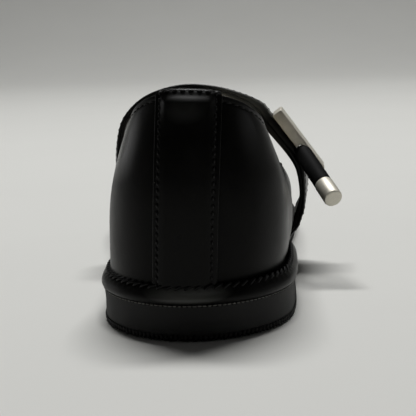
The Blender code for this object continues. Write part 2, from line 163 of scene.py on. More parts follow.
# Clasp: a stepped plate on the strap and a bar that leaves the plate's rear side
PLATE_START = (23.1, 57.6)
PLATE_END = (32.2, 44.9)
PLATE_LENGTH = 27.7
BLOCK_LENGTH = 15.1
BLOCK_THICKNESS = 4.1
LIP_THICKNESS = 2.0
PLATE_WIDTH = 15.6
PLATE_LIFT = 0.4
BAR_RADIUS = 3.3
BAR_START = (35.1, 94.9, 42.9)
BAR_END = (45.0, 70.0, 30.3)
BAR_LENGTH = math.dist(BAR_START, BAR_END)
CAP_LENGTH = 9.3

# Shape of the last


def along_foot(share):
    return SOLE_MARGIN + share * FOOT_LENGTH


def heel_arc(angle, width, depth, back):
    """A point of a half ellipse round the heel, on the outer side."""
    return width / 2 * math.sin(angle), back + depth * (1 - math.cos(angle))


def rib_row(rib, foot_share, top_share):
    """Feather point, topline point and swell of a rib, on the side that the two shares lead to."""
    foot = (foot_share * BALL_WIDTH, along_foot(rib.foot_along))
    top = (top_share * BALL_WIDTH, along_foot(rib.top_along), rib.top_height * BACK_HEIGHT)
    return (*foot, *top, rib.swell)


def rib_columns():
    """The rows of all ribs, once round the shoe from the back of the heel."""
    outer, inner = [], []
    for degrees in HEEL_ANGLES:
        angle = math.radians(degrees)
        foot_x, foot_y = heel_arc(angle, HEEL_WIDTH, HEEL_DEPTH, SOLE_MARGIN)
        top_x, top_y = heel_arc(angle, COLLAR_WIDTH, COLLAR_DEPTH, COLLAR_BACK)
        top_z = BACK_HEIGHT - COLLAR_DIP * (1 - math.cos(angle)) ** COLLAR_CURVE
        tilt = COLLAR_TILT * math.sin(angle)
        outer.append((foot_x, foot_y, top_x, top_y, top_z - tilt, HEEL_SWELL))
        inner.append((-foot_x, foot_y, -top_x, top_y, top_z + tilt, HEEL_SWELL))
    for rib in RIBS:
        outer.append(rib_row(rib, rib.foot_outer, rib.top_outer))
        inner.append(rib_row(rib, -rib.foot_inner, -rib.top_inner))
    back = (0.0, SOLE_MARGIN, 0.0, COLLAR_BACK, BACK_HEIGHT, HEEL_SWELL)
    toe = rib_row(TOE, TOE.foot_outer, TOE.top_outer)
    return np.array([back, *outer, toe, *reversed(inner)])


RIB_TABLE = rib_columns()
RIB_COUNT = len(RIB_TABLE)
COLUMNS_PER_RIB = 22
RING = np.arange(RIB_COUNT * COLUMNS_PER_RIB) / COLUMNS_PER_RIB


def through(before, start, end, after, share):
    """A smooth curve from start to end that heads for the points on either side of them."""
    share = share[..., None]
    bend = 2 * before - 5 * start + 4 * end - after
    twist = 3 * start - before - 3 * end + after
    return start + share / 2 * (end - before + share * (bend + share * twist))


def on_loop(table, place):
    """A closed table read at any place, counted in its rows."""
    row = np.floor(place).astype(int)
    rows = [table[(row + step) % len(table)] for step in (-1, 0, 1, 2)]
    return through(*rows, place - row)


def on_ring(place):
    """The rib table read at any place round the shoe."""
    return on_loop(RIB_TABLE, place)


def on_path(table, steps):
    """An open table read at this many steps between its rows."""
    table = np.array(table, float)
    padded = np.vstack([2 * table[0] - table[1], table, 2 * table[-1] - table[-2]])
    place = np.arange((len(table) - 1) * steps + 1) / steps
    row = np.minimum(np.floor(place).astype(int), len(table) - 2)
    rows = [padded[row + step] for step in range(4)]
    return through(*rows, place - row)


def level(column, along):
    """Height of the sole's underside or top at places along the foot."""
    places = [row.along for row in LEVELS]
    heights = [getattr(row, column) for row in LEVELS]
    return np.interp(along, places, heights)


def unit(vector):
    vector = np.asarray(vector, float)
    return vector / np.linalg.norm(vector, axis=-1, keepdims=True)


def feather(place):
    """Feather points in plan, and the directions that lead straight out from them."""
    step = 0.05
    ends = on_ring(place + step)[..., :2] - on_ring(place - step)[..., :2]
    out = np.stack([ends[..., 1], -ends[..., 0]], axis=-1)
    return on_ring(place)[..., :2], unit(out)


def leaning(amount, along):
    """A sideways shift of the heel, which fades out along the foot."""
    shift = amount * np.interp(along, LEAN_ENDS, (1, 0))
    return np.stack([shift, 0 * shift, 0 * shift], axis=-1)


def wall(place, height):
    """Outer surface of the upper: height runs from 0 at the feather line to 1 at the topline."""
    foot, out = feather(place)
    row = on_ring(place)
    base = level("top", foot[..., 1]) + GAP
    top = row[..., 2:4]
    tall = row[..., 4] - base
    deep = np.sum((foot - top) * out, axis=-1)
    laid_back = np.clip(deep / (deep + tall), 0, 1)
    upright = 1 - laid_back
    lean = leaning(HEEL_LEAN, foot[..., 1])
    outer = np.clip(out[..., 0], 0, 1) * np.interp(foot[..., 1], LEAN_ENDS, (1, 0))

    def point(plan, outwards, level_z):
        return np.concatenate([plan + outwards[..., None] * out, level_z[..., None]], axis=-1)

    rise = tall * (RISE + RISE_TOE * laid_back)
    reach = deep * (REACH - REACH_TOE * laid_back) + (REACH_HEEL - OUTER_HOLLOW * outer) * upright
    drop = tall * (DROP * upright**1.5 + DROP_TOE * laid_back)
    start = point(foot, 0 * deep, base) + leaning(FOOT_LEAN, foot[..., 1])
    low = point(foot, (row[..., 5] + OUTER_SWELL * outer) * upright**0.5, base + rise) + lean / 2
    high = point(top, reach, row[..., 4] - drop) + lean
    end = point(top, 0 * deep, row[..., 4]) + lean
    t = height[..., None]
    return (1 - t) ** 3 * start + 3 * t * (1 - t) ** 2 * low + 3 * t**2 * (1 - t) * high + t**3 * end


def wall_frame(place, height):
    """Point, outward direction and upward direction on the outer surface of the upper."""
    step = 0.02
    below = np.clip(height - step, 0, 1)
    above = np.clip(height + step, 0, 1)
    round_the_shoe = wall(place + step, height) - wall(place - step, height)
    upwards = wall(place, above) - wall(place, below)
    return wall(place, height), unit(np.cross(round_the_shoe, upwards)), unit(upwards)


def plan_ring(margin, column, lift, place=RING):
    """The feather line moved out by a margin, at a level of the sole."""
    foot, out = feather(place)
    plan = foot + margin * out
    return np.column_stack([plan, level(column, plan[:, 1]) + lift])


def frame_shift():
    """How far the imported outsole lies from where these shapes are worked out."""
    corners_per_rib = 3
    solid_ring = np.arange(RIB_COUNT * corners_per_rib) / corners_per_rib
    lowest = plan_ring(SOLE_MARGIN, "top", 0.0, solid_ring).min(axis=0)
    packed = np.array(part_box("outsole")[0]) / METRES
    return np.array([packed[0] - lowest[0], packed[1] - lowest[1], packed[2]])


SHIFT = frame_shift()

# Small tools for relief


def hill(offset, width):
    """A soft ridge: 1 in its middle, gone after about two widths."""
    return np.exp(-((offset / width) ** 2))


def ease(value, low, high):
    """0 below low, 1 above high and smooth between."""
    share = np.clip((value - low) / (high - low), 0, 1)
    return share * share * (3 - 2 * share)


def pulled(run, pitch):
    """How hard the thread pulls along a seam: 1 where it goes in, less between."""
    return 0.65 + 0.35 * np.cos(2 * np.pi * run / pitch)


def distance_along(points, axis=0):
    """Length along rows of points from the first of them."""
    steps = np.linalg.norm(np.diff(points, axis=axis), axis=-1)
    first = np.zeros_like(np.take(steps, [0], axis=axis))
    return np.concatenate([first, np.cumsum(steps, axis=axis)], axis=axis)


# Small tools for meshes


def net(points, loop_rows=False, loop_columns=False):
    """Rows and columns of points, with the quads between them."""
    rows, columns = points.shape[:2]
    row, column = np.mgrid[: rows - (not loop_rows), : columns - (not loop_columns)]
    next_row = (row + 1) % rows
    next_column = (column + 1) % columns
    corners = ((row, column), (row, next_column), (next_row, next_column), (next_row, column))
    quads = np.stack([r * columns + c for r, c in corners], axis=-1)
    return points.reshape(-1, 3), quads.reshape(-1, 4).tolist()


def lid(loop):
    """One face over a loop of points."""
    return loop, [list(range(len(loop)))]


def cover(ring, rungs, surface):
    """Fills a ring with rungs from its outer side to its inner side, on the surface given."""
    half = len(ring) // 2
    number = np.arange(half + 1)
    start, end = ring[number], ring[-number]
    share = np.linspace(0, 1, rungs + 1)[None, :, None]
    points = start[:, None] * (1 - share) + end[:, None] * share
    points[:, 1:-1, 2] = surface(points[:, 1:-1, 0], points[:, 1:-1, 1], share[:, 1:-1, 0])
    return net(points)


def tube(rings):
    """The nets of a closed tube: one between its rings, and a lid on each end."""
    return [net(rings, loop_columns=True), lid(rings[0]), lid(rings[-1])]


def join_nets(nets, shift=SHIFT):
    """One closed mesh, in metres and facing outwards, from nets that meet edge to edge."""
    weld = 0.002
    builder = bmesh.new()
    for points, faces in nets:
        corners = [builder.verts.new(point) for point in (points + shift) * METRES]
        for face in faces:
            builder.faces.new([corners[number] for number in face])
    bmesh.ops.remove_doubles(builder, verts=builder.verts, dist=weld * METRES)
    bmesh.ops.recalc_face_normals(builder, faces=builder.faces)
    return builder


def smooth_mesh(name, builder):
    mesh = bpy.data.meshes.new(name)
    builder.to_mesh(mesh)
    builder.free()
    mesh.shade_smooth()
    return mesh


def add_object(name, data):
    item = bpy.data.objects.new(name, data)
    bpy.context.collection.objects.link(item)
    return item


def hand_over(name, mesh):
    """Makes a piece of a finished mesh, and attaches it to its body."""
    piece = add_object(name, mesh)
    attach(piece, BODY)
    return piece


def add_piece(name, builder, finish, replaced=(), sharp_degrees=40.0):
    """A piece of the shoe, which is shown instead of the nodes it replaces."""
    mesh = smooth_mesh(name, builder)
    mesh.set_sharp_from_angle(angle=math.radians(sharp_degrees))
    mesh.materials.append(finish)
    piece = hand_over(name, mesh)
    if replaced:
        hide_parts(*replaced)


# Small tools for materials

NOISE_ENDS = (0.3, 0.7)  # most of a noise lies between these values
# A Mix node has sockets of the same name for each kind of data, so those for colours go by number
MIX_UNDER, MIX_OVER, MIX_COLOUR = 6, 7, 2


def put(tree, socket, value):
    """Sets an input to a value, or links it to another node's output."""
    if isinstance(value, bpy.types.NodeSocket):
        tree.links.new(value, socket)
    else:
        socket.default_value = value


def put_all(tree, node, values):
    for name, value in values.items():
        put(tree, node.inputs[name.replace("_", " ")], value)


def add_node(tree, kind, properties=None, **sockets):
    """A node with its settings and its inputs."""
    node = tree.nodes.new(kind)
    for name, value in (properties or {}).items():
        setattr(node, name, value)
    put_all(tree, node, sockets)
    return node


def combine(tree, operation, first, second, kind="ShaderNodeMath"):
    """A Math or Vector Math node on two values or outputs."""
    node = add_node(tree, kind, {"operation": operation})
    put(tree, node.inputs[0], first)
    put(tree, node.inputs[1], second)
    return node.outputs[0]


def spread(tree, value, low, high, from_low=0.0, from_high=1.0):
    """A value stretched to lie between low and high."""
    ends = {"From_Min": from_low, "From_Max": from_high, "To_Min": low, "To_Max": high}
    return add_node(tree, "ShaderNodeMapRange", Value=value, **ends).outputs["Result"]


def mix_colours(tree, mask, under, over):
    """The first colour or output where the mask is 0, and the second where it is 1."""
    mix = add_node(tree, "ShaderNodeMix", {"data_type": "RGBA"}, Factor=mask)
    put(tree, mix.inputs[MIX_UNDER], under)
    put(tree, mix.inputs[MIX_OVER], over)
    return mix.outputs[MIX_COLOUR]


def object_place(tree):
    return tree.nodes.new("ShaderNodeTexCoord").outputs["Object"]


def new_group(name, inputs, outputs, input_type="NodeSocketFloat"):
    """An empty shader group, and the sockets of its two ends."""
    group = bpy.data.node_groups.new(name, "ShaderNodeTree")
    for socket in inputs:
        group.interface.new_socket(socket, in_out="INPUT", socket_type=input_type)
    for socket in outputs:
        group.interface.new_socket(socket, in_out="OUTPUT", socket_type="NodeSocketFloat")
    return group, group.nodes.new("NodeGroupInput").outputs, group.nodes.new("NodeGroupOutput").inputs


def make_hide_grain():
    """Grain of a finished hide: pebbles, fine pores between them, and slow changes of tone."""
    pore_depth = 0.6
    inputs = ("Pebble Scale", "Pore Scale", "Tone Scale", "Waves")
    group, ins, outs = new_group("hide_grain", inputs, ("Height", "Tone"))
    place = object_place(group)
    pebbles = add_node(
        group,
        "ShaderNodeTexVoronoi",
        {"feature": "SMOOTH_F1"},
        Vector=place,
        Scale=ins["Pebble Scale"],
        Smoothness=0.6,
    )
    pores = add_node(group, "ShaderNodeTexNoise", Vector=place, Scale=ins["Pore Scale"], Detail=3.0)
    tone = add_node(group, "ShaderNodeTexNoise", Vector=place, Scale=ins["Tone Scale"], Detail=4.0)
    rounded = combine(group, "SUBTRACT", 1.0, pebbles.outputs["Distance"])
    height = combine(group, "ADD", rounded, combine(group, "MULTIPLY", pores.outputs["Fac"], pore_depth))
    waves = combine(group, "MULTIPLY", tone.outputs["Fac"], ins["Waves"])
    put(group, outs["Height"], combine(group, "ADD", height, waves))
    put(group, outs["Tone"], spread(group, tone.outputs["Fac"], 0.0, 1.0, *NOISE_ENDS))
    return group


def make_dust_specks():
    """Scattered specks of dust: a mask that is 1 on a few small dots."""
    group, ins, outs = new_group("dust_specks", ("Scale", "Dot Size", "Share"), ("Mask",))
    cells = add_node(group, "ShaderNodeTexVoronoi", Vector=object_place(group), Scale=ins["Scale"])
    picked = add_node(group, "ShaderNodeSeparateColor", Color=cells.outputs["Color"])
    chosen = combine(group, "LESS_THAN", picked.outputs["Red"], ins["Share"])
    size = combine(group, "MULTIPLY", ins["Dot Size"], picked.outputs["Green"])
    dot = combine(group, "LESS_THAN", cells.outputs["Distance"], size)
    put(group, outs["Mask"], combine(group, "MULTIPLY", chosen, dot))
    return group


def make_drawn_lines():
    """Fine lines drawn in one direction, as a brush leaves on metal, or strands of a thread."""
    group, ins, outs = new_group("drawn_lines", ("Along", "Across", "Up"), ("Height", "Tone"))
    place = object_place(group)
    stretch = add_node(group, "ShaderNodeCombineXYZ", X=ins["Across"], Y=ins["Along"], Z=ins["Up"])
    mapping = add_node(group, "ShaderNodeMapping", Vector=place, Scale=stretch.outputs["Vector"])
    lines = add_node(group, "ShaderNodeTexNoise", Vector=mapping.outputs["Vector"], Scale=1.0, Detail=5.0)
    put(group, outs["Height"], lines.outputs["Fac"])
    put(group, outs["Tone"], spread(group, lines.outputs["Fac"], 0.0, 1.0, *NOISE_ENDS))
    return group


def make_gloss_and_highlight_spot():
    """A spot of more gloss and a painted highlight: a mask that is 1 round its middle and fades to 0 at its
    rim.
    """
    full_until = 0.4
    group, ins, outs = new_group("worn_spot", ("Centre", "Half Size"), ("Mask",), "NodeSocketVector")
    from_centre = combine(group, "SUBTRACT", object_place(group), ins["Centre"], "ShaderNodeVectorMath")
    shares = combine(group, "DIVIDE", from_centre, ins["Half Size"], "ShaderNodeVectorMath")
    away = add_node(group, "ShaderNodeVectorMath", {"operation": "LENGTH"})
    put(group, away.inputs[0], shares)
    put(group, outs["Mask"], spread(group, away.outputs["Value"], 1.0, 0.0, full_until, 1.0))
    return group


HIDE_GRAIN = make_hide_grain()
DUST_SPECKS = make_dust_specks()
DRAWN_LINES = make_drawn_lines()
GLOSS_AND_HIGHLIGHT_SPOT = make_gloss_and_highlight_spot()


def use_group(tree, group, **values):
    return add_node(tree, "ShaderNodeGroup", {"node_tree": group}, **values).outputs


def new_material(name):
    material = bpy.data.materials.new(name)
    material.use_nodes = True
    tree = material.node_tree
    return material, tree, tree.nodes["Principled BSDF"]


def shaded(colour, factor):
    return (*[channel * factor for channel in colour], 1.0)


def fine_relief(tree, height, strength, depth):
    """Surface relief too fine to be modelled: depth is its real size in millimetres."""
    bump = add_node(tree, "ShaderNodeBump", Height=height, Strength=strength, Distance=depth * METRES)
    return bump.outputs["Normal"]


def make_finish(name, colour, group, sizes, tones, roughness, relief, **plain):
    """A finish in one colour, whose tone, roughness and fine relief follow the pattern of a group."""
    material, tree, shader = new_material(name)
    pattern = use_group(tree, group, **sizes)
    dark, light = (shaded(colour, tone) for tone in tones)
    inputs = {
        "Base Color": mix_colours(tree, pattern["Tone"], dark, light),
        "Roughness": spread(tree, pattern["Tone"], *roughness),
        "Normal": fine_relief(tree, pattern["Height"], *relief),
    }
    put_all(tree, shader, inputs | plain)
    return material


def make_thread(name, colour, gloss):
    """Waxed thread: fine twisted strands that catch the light."""
    strands = {"Along": 2600.0, "Across": 2600.0, "Up": 2600.0}
    ranges = {"tones": (0.6, 1.3), "roughness": (0.4, 0.6), "relief": (0.5, 0.06)}
    return make_finish(name, colour, DRAWN_LINES, strands, **ranges, Specular_IOR_Level=gloss)


# Spots of the leather with more gloss and a lighter grey painted into the colour as a highlight: middle and
# half sizes, how shiny, and how much of the painted highlight grey shows
GlossAndPaintedHighlight = namedtuple("GlossAndPaintedHighlight", "centre size shine grey")
# Painted highlight: a lighter grey mixed into the leather's colour at each spot
PAINTED_HIGHLIGHT_GREY = (0.07, 0.072, 0.066)
PALE_DUST = (0.2, 0.19, 0.17)
UPPER_GLOSS_AND_PAINTED_HIGHLIGHTS = (
    GlossAndPaintedHighlight((-21.0, 20.0, 59.0), (12.0, 17.0, 15.0), 0.9, 0.05),
    GlossAndPaintedHighlight((22.0, 20.0, 60.0), (13.0, 16.0, 13.0), 0.5, 0.05),
)
STRIP_GLOSS_AND_PAINTED_HIGHLIGHT = (GlossAndPaintedHighlight((0.5, 5.0, 69.5), (7.0, 8.0, 5.5), 1.0, 0.1),)
# The rand's front is painted a full grey highlight; the strip and upper spots get only a faint painted one
RAND_GLOSS_AND_PAINTED_HIGHLIGHT = (GlossAndPaintedHighlight((-1.0, 0.0, 15.2), (15.0, 10.0, 3.6), 1.0, 1.0),)
# The strap's top and outer part is painted lighter grey where it catches the light: a painted highlight
STRAP_GLOSS_AND_PAINTED_HIGHLIGHT = (GlossAndPaintedHighlight((12.0, 96.0, 66.0), (17.0, 10.0, 12.0), 0.2, 1.0),)


def make_black_leather(name, pebble_size, roughness, gloss, polish, polish_roughness, gloss_and_painted_highlights):
    """Smooth black leather: a fine grain, a polish that shows at a slant, glossier spots with a painted
    highlight in their colour, and a little dust.
    """
    material, tree, shader = new_material(name)
    colour = SLOT_COLOURS["black_leather"]
    pebbles = 1 / (pebble_size * METRES)
    grain = use_group(tree, HIDE_GRAIN, Pebble_Scale=pebbles, Pore_Scale=5200.0, Tone_Scale=90.0, Waves=6.0)
    specks = use_group(tree, DUST_SPECKS, Scale=115.0, Dot_Size=0.016, Share=0.2)
    base = mix_colours(tree, grain["Tone"], shaded(colour, 0.2), shaded(colour, 0.4))
    slant = tree.nodes.new("ShaderNodeLayerWeight").outputs["Facing"]
    sheen = spread(tree, slant, 0.0, polish, 0.25, 0.8)
    for gloss_and_highlight in gloss_and_painted_highlights:
        centre = (np.array(gloss_and_highlight.centre) + SHIFT) * METRES
        half_size = np.array(gloss_and_highlight.size) * METRES
        spot = use_group(tree, GLOSS_AND_HIGHLIGHT_SPOT, Centre=centre, Half_Size=half_size)["Mask"]
        sheen = combine(tree, "MAXIMUM", sheen, combine(tree, "MULTIPLY", spot, gloss_and_highlight.shine))
        # Painted highlight: the leather's colour turns towards the grey in each spot
        base = mix_colours(tree, spot, base, shaded(PAINTED_HIGHLIGHT_GREY, gloss_and_highlight.grey))
    inputs = {
        "Base Color": mix_colours(tree, specks["Mask"], base, shaded(PALE_DUST, 1.0)),
        "Roughness": spread(tree, grain["Tone"], roughness - 0.05, roughness + 0.07),
        "Normal": fine_relief(tree, grain["Height"], 0.35, 0.05),
        "Specular IOR Level": gloss,
        "Coat Weight": sheen,
        "Coat Roughness": polish_roughness,
    }
    put_all(tree, shader, inputs)
    return material


UPPER_LEATHER = make_black_leather("upper_leather", 0.55, 0.4, 0.07, 0.15, 0.25, UPPER_GLOSS_AND_PAINTED_HIGHLIGHTS)
STRIP_LEATHER = make_black_leather("strip_leather", 0.55, 0.3, 0.08, 0.15, 0.32, STRIP_GLOSS_AND_PAINTED_HIGHLIGHT)
RAND_LEATHER = make_black_leather("rand_leather", 0.7, 0.4, 0.12, 0.05, 0.32, RAND_GLOSS_AND_PAINTED_HIGHLIGHT)
STRAP_LEATHER = make_black_leather("strap_leather", 0.5, 0.34, 0.2, 0.4, 0.25, STRAP_GLOSS_AND_PAINTED_HIGHLIGHT)
# Undyed lining leather: matte, with fine pores and slow changes of tone
PALE_LEATHER = make_finish(
    "pale_leather",
    SLOT_COLOURS["pale_leather"],
    HIDE_GRAIN,
    {"Pebble_Scale": 1100.0, "Pore_Scale": 3800.0, "Tone_Scale": 60.0},
    tones=(0.86, 1.06),
    roughness=(0.55, 0.7),
    relief=(0.5, 0.08),
)
# Matte sole rubber with a fine mould texture
BLACK_RUBBER = make_finish(
    "black_rubber",
    SLOT_COLOURS["black_rubber"],
    HIDE_GRAIN,
    {"Pebble_Scale": 2600.0, "Pore_Scale": 6400.0, "Tone_Scale": 70.0},
    tones=(0.35, 0.95),
    roughness=(0.6, 0.78),
    relief=(0.6, 0.08),
    Specular_IOR_Level=0.3,
)
BLACK_THREAD = make_thread("black_thread", (0.005, 0.005, 0.005), 0.2)
SEAM_THREAD = make_thread("seam_thread", (0.14, 0.14, 0.13), 0.5)
PALE_THREAD = make_thread("pale_thread", (0.5, 0.46, 0.39), 0.3)
# Nickel with a satin brush along the plate
SATIN_NICKEL = make_finish(
    "satin_nickel",
    SLOT_COLOURS["satin_nickel"],
    DRAWN_LINES,
    {"Along": 3000.0, "Across": 260.0, "Up": 260.0},
    tones=(1.0, 1.2),
    roughness=(0.44, 0.54),
    relief=(0.1, 0.02),
    Metallic=0.5,
)
# Black lacquer on metal: smooth, with faint ripples
BLACK_LACQUER = make_finish(
    "black_lacquer",
    SLOT_COLOURS["black_lacquer"],
    HIDE_GRAIN,
    {"Pebble_Scale": 900.0, "Pore_Scale": 2400.0, "Tone_Scale": 120.0},
    tones=(0.4, 0.8),
    roughness=(0.55, 0.65),
    relief=(0.1, 0.02),
    Specular_IOR_Level=0.05,
)

# Upper: leather outside, folded over the topline, and a pale lining inside

EDGE_ROLL = 0.2  # the folded edge stands out this far above the topline seam
TOPLINE_SEAM = 1.25  # from the topline down to its row of stitches
TOPLINE_PITCH = 2.6
SEAM_SINK = 0.3  # how deep a row of stitches sinks into the leather
COLLAR_FULLNESS = 0.15  # the leather swells below the seam
LEATHER = 1.1  # the outer leather takes this much of the wall, and the lining the rest
TOP_ROWS = (0.0, 0.3, 0.6, 0.85, 1.05, 1.2, 1.35, 1.5, 1.75, 2.1, 2.6, 3.3, 4.2, 5.3, 6.6, 8.2, 10.0)
LOWER_ROWS = 30
RIM_STEPS = 9
TURNED_ROWS = 6  # rows of the net on which the leather is folded in over the rim
LINING_TOP = 1.2  # from the topline down to the lining's upper edge
LINING_LIE = 0.06  # the lining lies this far off the leather
LINING_THIN = 0.25  # its upper edge is this much thinner

# Soft creases where the vamp bends: middle, half length, turn in degrees, depth and width
Crease = namedtuple("Crease", "across along reach turn depth width")
VAMP_CREASES = (
    Crease(-16.0, 190.0, 27.0, 4.0, 0.5, 2.8),
    Crease(-11.0, 198.0, 21.0, -6.0, 0.38, 2.4),
    Crease(-21.0, 206.0, 16.0, 9.0, 0.28, 2.2),
)
# Soft folds in the sides, seen from the side: which side, middle, half length, turn, depth and width
Fold = namedtuple("Fold", "side along height reach turn depth width")
SIDE_FOLDS = (
    Fold(1, 62.0, 36.0, 15.0, 62.0, 0.3, 4.0),
    Fold(1, 120.0, 24.0, 13.0, 70.0, 0.3, 3.6),
    Fold(-1, 66.0, 34.0, 15.0, 60.0, 0.3, 4.0),
    Fold(-1, 124.0, 26.0, 14.0, 66.0, 0.32, 3.6),
)


def heights_below(place, depth):
    """Heights on the wall this far below the topline, measured along the leather."""
    trial = np.linspace(0, 1, 81)
    path = wall(place[None, :], trial[:, None])
    below = distance_along(path[::-1])[::-1]
    return np.array([np.interp(-depth, -below[:, column], trial) for column in range(len(place))])


def trough(along_it, across_it, reach, depth, width):
    """A soft crease that runs out at both ends, with the leather pushed up beside it."""
    fade = np.clip(1 - (along_it / reach) ** 2, 0, 1) ** 2
    sides = hill(np.abs(across_it) - 2.1 * width, width)
    return depth * fade * (0.5 * sides - hill(across_it, width))


def turned(first, second, degrees):
    """Coordinates along and across a line at this angle."""
    angle = math.radians(degrees)
    along_it = first * math.cos(angle) + second * math.sin(angle)
    across_it = second * math.cos(angle) - first * math.sin(angle)
    return along_it, across_it


def crease_relief(points, height):
    """All creases of the vamp and folds of the sides, faded out towards the sole."""
    x, y, z = np.moveaxis(points, -1, 0)
    relief = np.zeros_like(x)
    for crease in VAMP_CREASES:
        line = turned(x - crease.across, y - crease.along, crease.turn)
        relief += trough(*line, crease.reach, crease.depth, crease.width)
    for fold in SIDE_FOLDS:
        line = turned(y - fold.along, z - fold.height, fold.turn)
        relief += trough(*line, fold.reach, fold.depth, fold.width) * (np.sign(x) == fold.side)
    return relief * ease(height, 0.12, 0.35)


def topline_relief(depth):
    """Rolled edge, sunk seam and the fullness under it, by distance below the topline."""
    roll = EDGE_ROLL * (1 - ease(depth, 0.3, TOPLINE_SEAM))
    sunk = SEAM_SINK * hill(depth - TOPLINE_SEAM, 0.35)
    full = COLLAR_FULLNESS * ease(depth, TOPLINE_SEAM, 3.6) * (1 - ease(depth, 5.0, 15.0))
    return roll - sunk + full


def upper_rows(place):
    """Heights of every row of the upper's net, from the feather line up, and distances below the topline."""
    top = np.array([heights_below(place, depth) for depth in TOP_ROWS[::-1]])
    low = np.linspace(0, 1, LOWER_ROWS, endpoint=False)[:, None] * top[:1]
    height = np.vstack([low, top])
    points = wall(place[None, :] + 0 * height, height)
    return height, distance_along(points[::-1])[::-1]


def rim_arc(place):
    """The rounded edge over the topline, from the rolled outer face to the inner one."""
    top, outwards, upwards = wall_frame(place, np.ones(len(place)))
    middle = top - WALL / 2 * outwards
    rows = []
    for angle in np.linspace(0, np.pi, RIM_STEPS + 2)[1:-1]:
        radius = WALL / 2 + EDGE_ROLL if angle < np.pi / 2 else WALL / 2
        rows.append(middle + radius * math.cos(angle) * outwards + RIM_LIFT * math.sin(angle) * upwards)
    return np.array(rows)


def make_upper():
    height, depth = upper_rows(RING)
    place = RING[None, :] + 0 * height
    points, outwards, _ = wall_frame(place, height)
    relief = topline_relief(depth) + crease_relief(points, height)
    outer = points + relief[..., None] * outwards
    down, facing = points[::-1], outwards[::-1]
    turned_in = down[:TURNED_ROWS] - WALL * facing[:TURNED_ROWS]
    behind = down[TURNED_ROWS + 1 :] - LEATHER * facing[TURNED_ROWS + 1 :]
    behind[-1, :, 2] = outer[0, :, 2]
    shell = np.concatenate([outer, rim_arc(RING), turned_in, behind])
    builder = join_nets([net(shell, loop_rows=True, loop_columns=True)])
    add_piece("upper_leather", builder, UPPER_LEATHER, ("upper",))


def make_lining():
    """Pale leather on the inside of the wall, from below the rolled edge down to the sock."""
    height, depth = upper_rows(RING)
    height = height[depth[:, 0] > LINING_TOP][1:]
    place = RING[None, :] + 0 * height
    points, outwards, _ = wall_frame(place, height)
    back = points - (LEATHER + LINING_LIE) * outwards
    front = points - WALL * outwards
    front[-1] += LINING_THIN * outwards[-1]
    shell = np.concatenate([back, front[::-1]])
    builder = join_nets([net(shell, loop_rows=True, loop_columns=True)])
    add_piece("lining", builder, PALE_LEATHER)


# Sock on the sole inside the shoe

SOCK_INSET = WALL + GAP + 0.2
SOCK_CROWN = 0.5
# Its edge from below to its top face: how far in, and share of its thickness
SockEdge = namedtuple("SockEdge", "inset share")
SOCK_EDGES = (SockEdge(0.0, 0.0), SockEdge(0.0, 0.6), SockEdge(0.2, 0.85), SockEdge(0.7, 1.0))


def sock_ring(inset, rise):
    """The sock's outline, moved in and up, which stands with the heel's foot."""
    ring = plan_ring(-SOCK_INSET - inset, "top", GAP + rise)
    return ring + leaning(FOOT_LEAN, ring[:, 1])


def make_sock():
    rings = [sock_ring(edge.inset, edge.share * SOCK_THICKNESS) for edge in SOCK_EDGES]

    def underside(x, y, share):
        return level("top", y) + GAP

    def top(x, y, share):
        return level("top", y) + GAP + SOCK_THICKNESS + SOCK_CROWN * (4 * share * (1 - share)) ** 0.7

    nets = [net(np.array(rings), loop_columns=True), cover(rings[0], 8, underside), cover(rings[-1], 20, top)]
    add_piece("sock_lining", join_nets(nets), PALE_LEATHER, ("sock",))


# Rolled rand between upper and sole

Bead = namedtuple("Bead", "out height")
RAND_SECTION = (
    Bead(0.4, 0.0),
    Bead(2.4, 0.0),
    Bead(3.2, 0.25),
    Bead(3.65, 0.8),
    Bead(3.8, 1.6),
    Bead(3.6, 2.6),
    Bead(3.1, 3.5),
    Bead(2.45, 4.3),
    Bead(1.8, 4.9),
    Bead(1.3, 5.2),
    Bead(0.95, 4.9),
    Bead(0.5, 4.0),
    Bead(0.4, 2.0),
)
RAND_STEPS = 3
RAND_TAPER = (60.0, 88.0)  # the bead gets lower between these places along the foot
RAND_LOW = 0.5  # share of its height that is left in front of them
WHIP_PITCH = 2.9
WHIP_HEIGHT = 5.2
WHIP_OUT = 1.6
WHIP_PULL = 0.16  # how far the thread pulls the bead in
WHIP_PRESS = 0.6  # how far it pulls it down, for each unit that it pulls it in


def rand_ring(out, height):
    share = np.interp(feather(RING)[0][:, 1], RAND_TAPER, (1.0, RAND_LOW))
    return plan_ring(out, "top", GAP + height * share)


def make_rand():
    section = np.array(RAND_SECTION)
    smooth = on_loop(section, np.arange(len(section) * RAND_STEPS) / RAND_STEPS)
    run = distance_along(rand_ring(WHIP_OUT, 0.0))
    rings = []
    for out, height in smooth:
        under_thread = ease(height, 3.0, 4.8) * ease(out, 0.8, 2.2)
        pull = WHIP_PULL * under_thread * pulled(run, WHIP_PITCH)
        ring = rand_ring(out, height)
        ring[:, :2] -= pull[:, None] * feather(RING)[1]
        ring[:, 2] -= WHIP_PRESS * pull
        rings.append(ring)
    builder = join_nets([net(np.array(rings), loop_rows=True, loop_columns=True)])
    add_piece("rolled_rand", builder, RAND_LEATHER, ("rand",))


# Outsole with a moulded side and a grooved tread

# The moulded side from the bevel up: shares of the way out and up to the sole's top edge
SideRow = namedtuple("SideRow", "out height")
SIDE_ROWS = (
    SideRow(0.0, 0.0),
    SideRow(0.5, 0.12),
    SideRow(0.35, 0.3),
    SideRow(0.3, 0.5),
    SideRow(0.4, 0.7),
    SideRow(0.75, 0.88),
    SideRow(1.0, 0.97),
)
TOP_ROUND = 0.5  # how far in the rounded top edge ends
BEVEL_BULGE = 0.42  # share of the bevel's height at its middle
GROOVE_DEPTH = 0.7
GROOVE_PITCH = 5.0
HEEL_TREAD_END = (62.0, 66.0)  # the grooves fade out here
FOREFOOT_TREAD_START = (132.0, 138.0)  # and come back here


